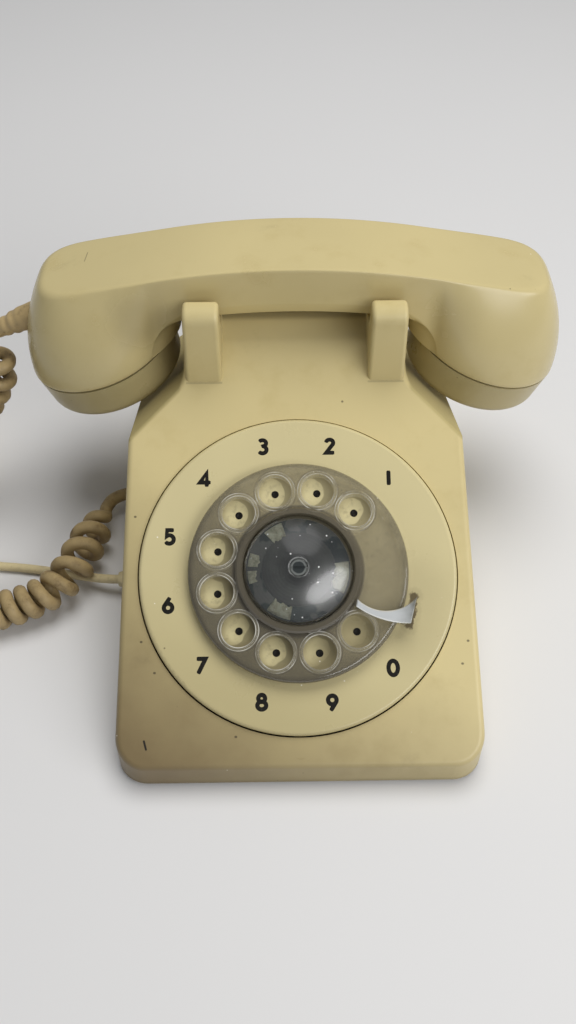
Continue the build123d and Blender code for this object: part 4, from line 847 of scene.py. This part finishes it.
class PHONE_OT_stage(bpy.types.Operator):
    """Floor, lights and the camera at the photograph's angle"""

    bl_idname = "phone.stage"
    bl_label = "Stage"

    def execute(self, context):
        scene = context.scene
        scene.view_settings.view_transform = "Standard"
        paint = Paint("floor_paint")
        cloud = paint.noise(6, 3)
        tone = Vector(colours().floor)
        shade = paint.mix(cloud, tuple(tone * 0.985), tuple(tone * 1.01))
        points = np.array([(-3, -2.5, 0), (3, -2.5, 0), (3, 3, 0), (-3, 3, 0)], float)
        floor = new_piece("floor", points, [(0, 1, 2, 3)], paint.finish(Base_Color=shade, Roughness=0.75))

        world = bpy.data.worlds.new("soft_room")
        world.use_nodes = True
        world.node_tree.nodes["Background"].inputs[0].default_value = (0.93, 0.96, 1.0, 1)
        world.node_tree.nodes["Background"].inputs[1].default_value = 0.21
        scene.world = world
        self.add_lamp("window_light", (0.60, -0.60, 0.63), (0.0, 0.0, 0.04), (1.15, 0.5), 5.6)
        ceiling = self.add_lamp("ceiling_light", (0.12, 0.30, 1.2), (0.0, 0.0, 0.05), (0.9, 0.9), 10.0)
        ceiling.visible_glossy = False

        camera = bpy.data.cameras.new("camera")
        camera.sensor_width = 36.0
        camera.lens = 31.64
        camera.clip_start = 0.01
        holder = bpy.data.objects.new("camera", camera)
        holder.location = (-0.0066, -0.237, 0.3232)
        holder.rotation_euler = (math.radians(38.87), 0, math.radians(-0.84))
        scene.collection.objects.link(holder)
        scene.camera = holder
        return {"FINISHED"}

    def add_lamp(self, name, place, target, size, power):
        lamp = bpy.data.lights.new(name, "AREA")
        lamp.shape = "ELLIPSE"
        lamp.size, lamp.size_y = size
        lamp.energy = power
        holder = bpy.data.objects.new(name, lamp)
        holder.location = place
        holder.rotation_euler = (Vector(target) - Vector(place)).to_track_quat("-Z", "Y").to_euler()
        bpy.context.scene.collection.objects.link(holder)
        return holder


class PHONE_OT_line_cord(bpy.types.Operator):
    """Line cord from the base to its coil and plug"""

    bl_idname = "phone.line_cord"
    bl_label = "Line cord"

    def execute(self, context):
        route = np.vstack([LINE_ROUTE, coil_points(), LINE_TAIL]) * MM
        piece = route_curve("line_cord_jacket", route)
        piece.data.bevel_depth = sizes().line_wire / 2
        piece.data.bevel_resolution = 4
        piece.data.resolution_u = 4
        piece.data.use_fill_caps = True
        piece.data.materials.append(cord_jacket("line_cord_vinyl", colours().line, 0.35, 0.5))
        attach(piece, "base")
        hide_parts("line_cord", "line_cord_coil", "line_cord_tail")
        metres(LINE_ROUTE[0])
        return {"FINISHED"}


class PHONE_OT_handset_cord(bpy.types.Operator):
    """Curly cord from the handset's boot to the base"""

    bl_idname = "phone.handset_cord"
    bl_label = "Handset cord"

    def execute(self, context):
        material = cord_jacket("curly_cord_vinyl", colours().curly, 0.75, 0.55)
        boot = self.add_boot(cord_jacket("boot_vinyl", tuple(Vector(colours().curly) * 1.25), 1.0, 0.5))
        path = self.helix()
        around = 12
        points, faces = tube(path, sizes().curly_wire / 2, around)
        piece = new_piece("curly_cord", points, faces, material)
        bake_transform(piece)
        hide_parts("handset_cord")
        metres(BOOT_END)
        return {"FINISHED"}

    def helix(self):
        """Helix round the route: the turned angle is the sum of step over pitch, and the radius
        grows from nothing at both ends."""
        axis_line, length = route_line(np.array(CURLY_ROUTE) * MM, HELIX_POINTS)
        _, sides, ups = carried_frames(axis_line)
        along = np.linspace(0, length, HELIX_POINTS)
        from_boot = along - 7 * MM
        from_base = length - along - 13 * MM
        near_end = np.minimum(from_boot, from_base)
        looser = smoothstep((along - length + 78 * MM) / (30 * MM))
        pitch = sizes().curly_pitch + 8 * MM * (1 - smoothstep(near_end / (14 * MM))) + 3.4 * MM * looser
        step = np.where(near_end > 0, length / HELIX_POINTS / pitch, 0)
        angle = TURN * np.cumsum(step)
        grow = np.minimum(smoothstep(from_boot / (12 * MM)), smoothstep(from_base / (22 * MM)))
        uneven = 1 + 0.05 * np.sin(along * 61) + 0.03 * np.sin(along * 143 + 1)
        radius = sizes().curly_radius * grow * uneven
        path = axis_line + radius[:, None] * (sides * np.cos(angle)[:, None] + ups * np.sin(angle)[:, None])
        return path[::3]

    def add_boot(self, material):
        """Wrinkled sleeve: a taper from the handset to the cord with two soft folds round it."""
        start, end = np.array(BOOT_START) * MM, np.array(BOOT_END) * MM
        share = np.linspace(-0.45, 1.04, 60)
        spine = start + share[:, None] * (end - start)
        radius = np.interp(share, (-0.45, 0.14, 0.5, 1.04), (5.0, 5.0, 4.2, 3.15)) * MM
        folds = 0.28 * np.sin(share * 21) * np.exp(-((share - 0.5) / 0.34) ** 2) * MM
        points, faces = tube(spine, radius + folds, 32)
        boot = new_piece("cord_boot", points, faces, material)
        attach(boot, "handset")
        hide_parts("handset_boot")
        return boot


class PHONE_OT_handset(bpy.types.Operator):
    """Handset's moulded body as one smooth skin"""

    bl_idname = "phone.handset"
    bl_label = "Handset"

    def execute(self, context):
        quarter = self.quarter()
        right = np.concatenate([quarter, (quarter * (1, -1, 1))[-2::-1]])
        left = (right * (-1, 1, 1))[-2:0:-1]
        skin = np.concatenate([right, left]) + (0, HANDSET_Y, 0)
        faces = grid_faces(skin.shape[0], skin.shape[1], wrap_rows=True)
        chips = [
            ((-80.6, 64.2, 112.7), (-81.2, 58.6, 112.5), 0.25, 0.5),
            ((81.0, 39.4, 112.6), (81.8, 36.6, 112.4), 0.35, 0.8),
            ((94.0, 36.6, 110.3), (94.8, 35.9, 110.1), 0.45, 0.8),
        ]
        # Painted shade in the concave valley between the grip and each cup, stronger on the left.
        shaded_valleys = [((-60, 38, 101), 17.0, 0.30), ((60, 38, 101), 17.0, 0.10)]
        cream = Vector(colours().cream)
        finish = cream_plastic("handset_plastic", tuple(cream), shaded_valleys, scratches=chips, gloss=0.24)
        body = new_piece("handset_skin", skin * MM, faces, finish)
        weld(body, 0.01 * MM)
        body.data.set_sharp_from_angle(angle=math.radians(38))
        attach(body, "handset")
        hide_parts("handset_body")
        # Caps: the handset's cream darkened to 0.72 as painted shade.
        dressed(["transmitter_cap", "receiver_cap"], cream_plastic("shaded_cap_plastic", tuple(cream * 0.72)))
        return {"FINISHED"}

    def top(self, x):
        """Top line: an arc over the grip, then straight down to the end."""
        straight = TOP_BEND_HEIGHT - (x - TOP_BEND) * TOP_SLOPE
        return np.where(x < TOP_BEND, TOP_HEIGHT - x * x / TOP_CURVE, straight)

    def seam(self, x):
        """Plane where the cap meets the body."""
        return SEAM_Z - (x - SEAM_X) * math.tan(SEAM_TILT)

    def throat(self, x, end):
        """Shallow arch under the grip, then a quarter ellipse down to the height of the end."""
        share = np.clip((x - THROAT_START) / (THROAT_END - THROAT_START), 0, 1)
        arch = ARCH_HEIGHT - np.minimum(x, THROAT_START) ** 2 / ARCH_CURVE
        return end + (arch - end) * np.sqrt(1 - share * share)

    def low(self, x):
        """Underside: arch and throat, then the seam."""
        return np.where(x < THROAT_END, self.throat(x, self.seam(THROAT_END)), self.seam(x))

    def spread(self, x):
        """Half width at the lower edge: the grip's, eased into the circle of the cap."""
        reach = np.minimum(np.abs(x - SEAM_X) / math.cos(SEAM_TILT), SEAM_RADIUS)
        circle = np.sqrt(SEAM_RADIUS**2 - reach * reach)
        back = (SEAM_X - THROAT_END) / math.cos(SEAM_TILT)
        edge = math.sqrt(SEAM_RADIUS**2 - back * back)
        span = THROAT_END - FLARE_START
        share = np.clip((x - FLARE_START) / span, 0, 1)
        slope = back / edge / math.cos(SEAM_TILT) * span
        rise = edge - GRIP_HALF
        eased = GRIP_HALF + (3 * rise - slope) * share**2 + (slope - 2 * rise) * share**3
        return np.where(x < THROAT_END, eased, circle)

    def quarter(self):
        """Right front quarter of the body, one row of points to a station.

        Each row runs from the middle of the top over the ridge, down the wall and in to the middle of
        the underside. Up to the cup's centre a station is a plane across the grip. From there to the
        end the walls are superellipses whose half axes grow from the top outline to the seam's circle
        as 1 - (1 - depth) ** power, and whose exponent falls to 2."""
        throat = THROAT_START + (THROAT_END - THROAT_START) * np.sin(np.linspace(0, math.pi / 2, 26))
        inner = np.concatenate([np.linspace(0, THROAT_START, 30)[:-1], throat[:-1],
                                np.linspace(THROAT_END, SEAM_X, 20)])
        turn = np.linspace(math.pi / 2, 0, 44)[1:, None]
        share = np.linspace(0, 1, 30)[None, :]
        edge = 0.6 + 4.4 * (1 - smoothstep((inner - THROAT_START + 3) / (THROAT_END - THROAT_START + 3)))
        edge = np.concatenate([edge, np.full(len(turn), edge[-1])])

        x_inner = np.repeat(inner[:, None], share.size, 1)
        z_inner = self.top(x_inner) * (1 - share) + (self.low(x_inner) + edge[:len(inner), None]) * share
        depth = (self.top(x_inner) - z_inner) / (self.top(x_inner) - self.seam(x_inner))
        y_inner = GRIP_HALF + (self.spread(inner)[:, None] - GRIP_HALF) * (1 - (1 - depth) ** SIDE_POWER)

        depth = depth[-1:]
        half = GRIP_HALF + (SEAM_RADIUS - GRIP_HALF) * (1 - (1 - depth) ** SIDE_POWER)
        full = SEAM_RADIUS * math.cos(SEAM_TILT)
        reach = TOP_END - SEAM_X + (full - TOP_END + SEAM_X) * (1 - (1 - depth) ** END_POWER)
        power = 2 / (3.0 - depth ** 0.6)
        x_outer = SEAM_X + reach * np.cos(turn) ** power
        y_outer = half * np.sin(turn) ** power
        z_outer = self.top(x_outer) * (1 - depth) + self.seam(x_outer) * depth
        wall = np.concatenate([np.stack([x_inner, -y_inner, z_inner], -1),
                               np.stack([x_outer, -y_outer, z_outer], -1)])
        lid, ridge, wall = self.over_ridge(wall)
        return np.concatenate([lid, ridge, wall, self.sole(wall[:, -1], edge)], 1)

    def over_ridge(self, wall):
        """The top from its middle line, and the ridge as a quadratic curve from the top to the wall."""
        start = wall[:, 0, 0]
        middle = np.minimum(start, 88.0)
        crest = np.stack([middle, 0 * middle, self.top(middle)], -1)
        inward = crest - wall[:, 0]
        inward /= np.maximum(np.linalg.norm(inward, axis=1), 1e-6)[:, None]
        soft = (1.0 + 1.6 * smoothstep((start - 72) / 28))[:, None]
        shelf = wall[:, 0] + inward * soft
        shelf[:, 2] = self.top(shelf[:, 0])
        count = wall.shape[1]
        run = np.linalg.norm(np.diff(wall, axis=1), axis=2).sum(1)[:, None]
        place = (soft / run + (1 - soft / run) * np.linspace(0, 1, count)) * (count - 1)
        index = np.minimum(place.astype(int), count - 2)
        part = (place - index)[..., None]
        rows = np.arange(len(wall))[:, None]
        lower = wall[rows, index] * (1 - part) + wall[rows, index + 1] * part
        bend = np.linspace(0, 1, 7)[None, :, None]
        ridge = (1 - bend) ** 2 * shelf[:, None] + bend**2 * lower[:, :1]
        ridge = ridge + 2 * bend * (1 - bend) * wall[:, :1]
        across = np.linspace(0, 1, 8)[None, :, None]
        lid = crest[:, None] * (1 - across) + shelf[:, None] * across
        lid[..., 2] = self.top(lid[..., 0])
        return lid[:, :-1], ridge[:, :-1], lower

    def sole(self, rim, edge):
        """Underside from the lower edge to the middle: each line bends towards the grip by
        1 - (y / edge) ** 2, so that the throat ends a little inside the seam's circle."""
        x, half = rim[:, :1], -(rim[:, 1] + 0.42 * edge)[:, None]
        across = np.linspace(1, 0, 9)[None, :]
        bend = THROAT_BULGE * np.interp(x, (THROAT_START, THROAT_END, SEAM_X), (0, 1, 0))
        centre = np.minimum(x, SEAM_X)
        bent = centre + (x - centre) * across - bend * (1 - across**2)
        return np.stack([bent, -half * across, self.throat(x, self.seam(bent))], -1)


class PHONE_OT_dial_marks(bpy.types.Operator):
    """Digits on the number plate and the dark pin under each finger hole"""

    bl_idname = "phone.dial_marks"
    bl_label = "Dial marks"

    def execute(self, context):
        ink = dial_ink()
        parts = []
        for place, digit in enumerate(DIGITS):
            parts.extend(self.digit_parts(digit, math.radians(FIRST_DIGIT + DIGIT_STEP * place)))
        digits = new_piece("dial_digits", *joined(parts), ink, smooth=False)
        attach(digits, "base")
        angles = np.radians(FIRST_HOLE + HOLE_STEP * np.arange(10))
        pins = new_piece("dial_pins", *joined([self.pin(angle) for angle in angles]), ink)
        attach(pins, "base")
        return {"FINISHED"}

    def digit_parts(self, digit, angle):
        size, half = sizes().digit_height - sizes().digit_stroke, sizes().digit_stroke / 2
        centre = sizes().digit_circle * np.array([math.cos(angle), math.sin(angle)]) + (0, DIGIT_RAISE * MM)
        for path, closed in digit_strokes(digit):
            flat, lift, faces = stroke_ribbon((path - (0, 0.5)) * size + centre, closed, half, 0.05 * MM)
            u, v = flat[..., 0], flat[..., 1]
            w = plate_height(np.hypot(u, v)) + lift - 0.01 * MM
            yield dial_points(u, v, w), faces

    def pin(self, angle):
        """Turned pin head: a low disc with a sunk middle, about its own axis."""
        radius = np.array([1.0, 1.0, 0.93, 0.62, 0.55, 0.001]) * sizes().dot_radius
        height = np.array([1.15, 1.36, 1.42, 1.42, 1.30, 1.30]) * MM
        turn = np.linspace(0, TURN, 24, endpoint=False)
        u = HOLE_CIRCLE * MM * math.cos(angle) + radius[:, None] * np.cos(turn)
        v = HOLE_CIRCLE * MM * math.sin(angle) + radius[:, None] * np.sin(turn)
        w = np.repeat(height[:, None], 24, 1)
        return dial_points(u, v, w), grid_faces(6, 24, wrap_columns=True)


class PHONE_OT_dial_centre(bpy.types.Operator):
    """Clear dome and the scraps of card under it"""

    bl_idname = "phone.dial_centre"
    bl_label = "Dial centre"

    def execute(self, context):
        self.add_dome()
        self.add_scraps()
        return {"FINISHED"}

    def add_dome(self):
        """Part of a sphere from the screw's seat to the edge, then down to the wheel."""
        ball = (DOME_RADIUS**2 + DOME_RISE**2) / (2 * DOME_RISE)
        radius = np.linspace(3.5, DOME_RADIUS, 60)
        height = DOME_TOP - ball + np.sqrt(ball**2 - radius**2)
        profile = np.stack([radius, height], 1)
        seat = [(1.6, 12.4), (3.3, 12.4), (3.5, 12.55)]
        skirt = [(DOME_RADIUS, 7.8), (DOME_RADIUS - 0.05, 6.5), (DOME_RADIUS - 0.3, 6.3)]
        points, faces = revolved(np.vstack([seat, profile, skirt]) * MM, 128)
        dome = new_piece("clear_dome", points, faces, dome_plastic())
        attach(dome, "dial")
        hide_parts("centre_cap")

    def add_scraps(self):
        """Flat scraps between two radii and two angles, with a ragged inner edge."""
        parts = []
        for start, end, inner, outer in CARD_SCRAPS:
            angle = np.radians(np.linspace(start, end, 14))
            ragged = 0.35 * np.sin(angle * 23) + 0.2 * np.sin(angle * 57)
            share = np.linspace(0, 1, 5)[:, None]
            radius = (inner + ragged) * (1 - share) + outer * share
            u, v = radius * np.cos(angle) * MM, radius * np.sin(angle) * MM
            w = (7.20 + 0.45 * (1 - share) + 0.06 * np.sin(angle * 9)) * MM
            w = np.where(radius < 13.6, np.maximum(w, 7.62 * MM), w)
            parts.append((dial_points(u, v, w), grid_faces(5, 14)))
        scraps = new_piece("card_scraps", *joined(parts), old_card())
        solid = scraps.modifiers.new("thickness", "SOLIDIFY")
        solid.thickness = 0.12 * MM
        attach(scraps, "dial")


class PHONE_OT_finishes(bpy.types.Operator):
    """Finishes of the pieces whose shape comes from the model"""

    bl_idname = "phone.finishes"
    bl_label = "Finishes"

    def execute(self, context):
        cream = tuple(colours().cream)
        marks = [((-56.6, -96.8, 18.2), (-55.8, -99.4, 16.9), 0.48, 1.0)]
        marks += [((x, y, z), (x + 0.2, y, z), 0.55, 0.7) for x, y, z in HOUSING_SPECKS]
        marks += [((side * 28.9, 24.6, 79.8), (side * 42.4, 24.6, 79.8), 0.6, 0.25) for side in (-1, 1)]
        # Painted shadow: a dark band across the cradle's crest under the handset's grip.
        marks += [((-28.0, 52.3, 93.5), (28.0, 52.3, 93.5), 5.4, 0.42)]
        # Painted shade, with some dirt, on the hip flanks under the handset.
        shaded_hips = [((side * 64.5, 4.5, 69.7), (side * 0.627, 0.293, 0.7215)) for side in (-1, 1)]
        # Housing darker towards its lower left front: partly ageing, partly painted shade.
        side = ((22, -56, 30), (-0.55, -0.83, 0), 82, 0.95)
        dressed(["housing"], cream_plastic("housing_plastic", cream, (), 5.0, side, marks, shaded_hips, 0.40))
        dressed(["number_plate"], plate_plastic())
        dressed(["finger_wheel"], smoky_plastic())
        dressed(["finger_stop"], stop_plating())
        dressed(["cap_screw"], dark_screw())
        dressed(["card_plate"], card_plate_finish())
        steel = ["base_plate", "wheel_hub", "housing_screws", "dial_frame", "dial_rear_plate",
                 "dial_screws", "main_shaft", "mainspring_barrel", "pulse_shaft", "governor_shaft",
                 "dial_bracket_left", "dial_bracket_right", "hook_bracket", "hook_pivot", "hook_lever",
                 "ringer_frame", "gong_screws", "transmitter_capsule", "receiver_capsule"]
        dressed(steel, metal("plated_steel", (0.50, 0.50, 0.48), 0.34))
        brass = ["dial_posts", "main_gear", "pulse_gear", "governor_weights", "governor_cup",
                 "pulse_contacts", "hook_contacts", "clapper", "network_terminals", "gong_front", "gong_back"]
        dressed(brass, metal("worn_brass", (0.62, 0.46, 0.20), 0.30))
        black = ["pulse_cam", "contact_block", "volume_wheel", "network_block", "coil_tie"]
        dressed(black, moulding("black_moulding", (0.02, 0.02, 0.02), 0.5))
        feet = ["foot_front_left", "foot_front_right", "foot_back_left", "foot_back_right"]
        dressed(feet, moulding("foot_rubber", (0.025, 0.024, 0.023), 0.7))
        dressed(["ringer_coil"], moulding("coil_varnish", (0.16, 0.05, 0.02), 0.35))
        dressed(["handset_grommet"], moulding("tan_grommet", (0.20, 0.15, 0.08), 0.55))
        dressed(["line_grommet"], moulding("cream_grommet", (0.45, 0.38, 0.22), 0.5))
        dressed(["line_plug"], moulding("plug_plastic", (0.50, 0.49, 0.45), 0.2))
        dressed(["plunger_left", "plunger_right"], moulding("plunger_plastic", (0.42, 0.40, 0.34), 0.2))
        return {"FINISHED"}


class PHONE_PT_pieces(bpy.types.Panel):
    """The steps that dress the telephone"""

    bl_idname = "PHONE_PT_pieces"
    bl_label = "Telephone"
    bl_space_type = "VIEW_3D"
    bl_region_type = "UI"
    bl_category = "Telephone"

    def draw(self, context):
        for operator in OPERATORS:
            self.layout.operator(operator.bl_idname)
        for group in (sizes(), colours()):
            for name in group.bl_rna.properties.keys():
                if name not in ("rna_type", "name"):
                    self.layout.prop(group, name)


OPERATORS = (
    PHONE_OT_stage,
    PHONE_OT_line_cord,
    PHONE_OT_handset_cord,
    PHONE_OT_handset,
    PHONE_OT_dial_marks,
    PHONE_OT_dial_centre,
    PHONE_OT_finishes,
)
CLASSES = (PhoneSizes, PhoneColours, *OPERATORS, PHONE_PT_pieces)


def register():
    for made in CLASSES:
        bpy.utils.register_class(made)
    bpy.types.Scene.phone_sizes = bpy.props.PointerProperty(type=PhoneSizes)
    bpy.types.Scene.phone_colours = bpy.props.PointerProperty(type=PhoneColours)


def unregister():
    del bpy.types.Scene.phone_sizes
    del bpy.types.Scene.phone_colours
    for made in reversed(CLASSES):
        bpy.utils.unregister_class(made)


def main():
    register()
    bpy.ops.phone.stage()
    bpy.ops.phone.line_cord()
    bpy.ops.phone.handset_cord()
    bpy.ops.phone.handset()
    bpy.ops.phone.dial_marks()
    bpy.ops.phone.dial_centre()
    bpy.ops.phone.finishes()


if __name__ == "__main__":
    main()
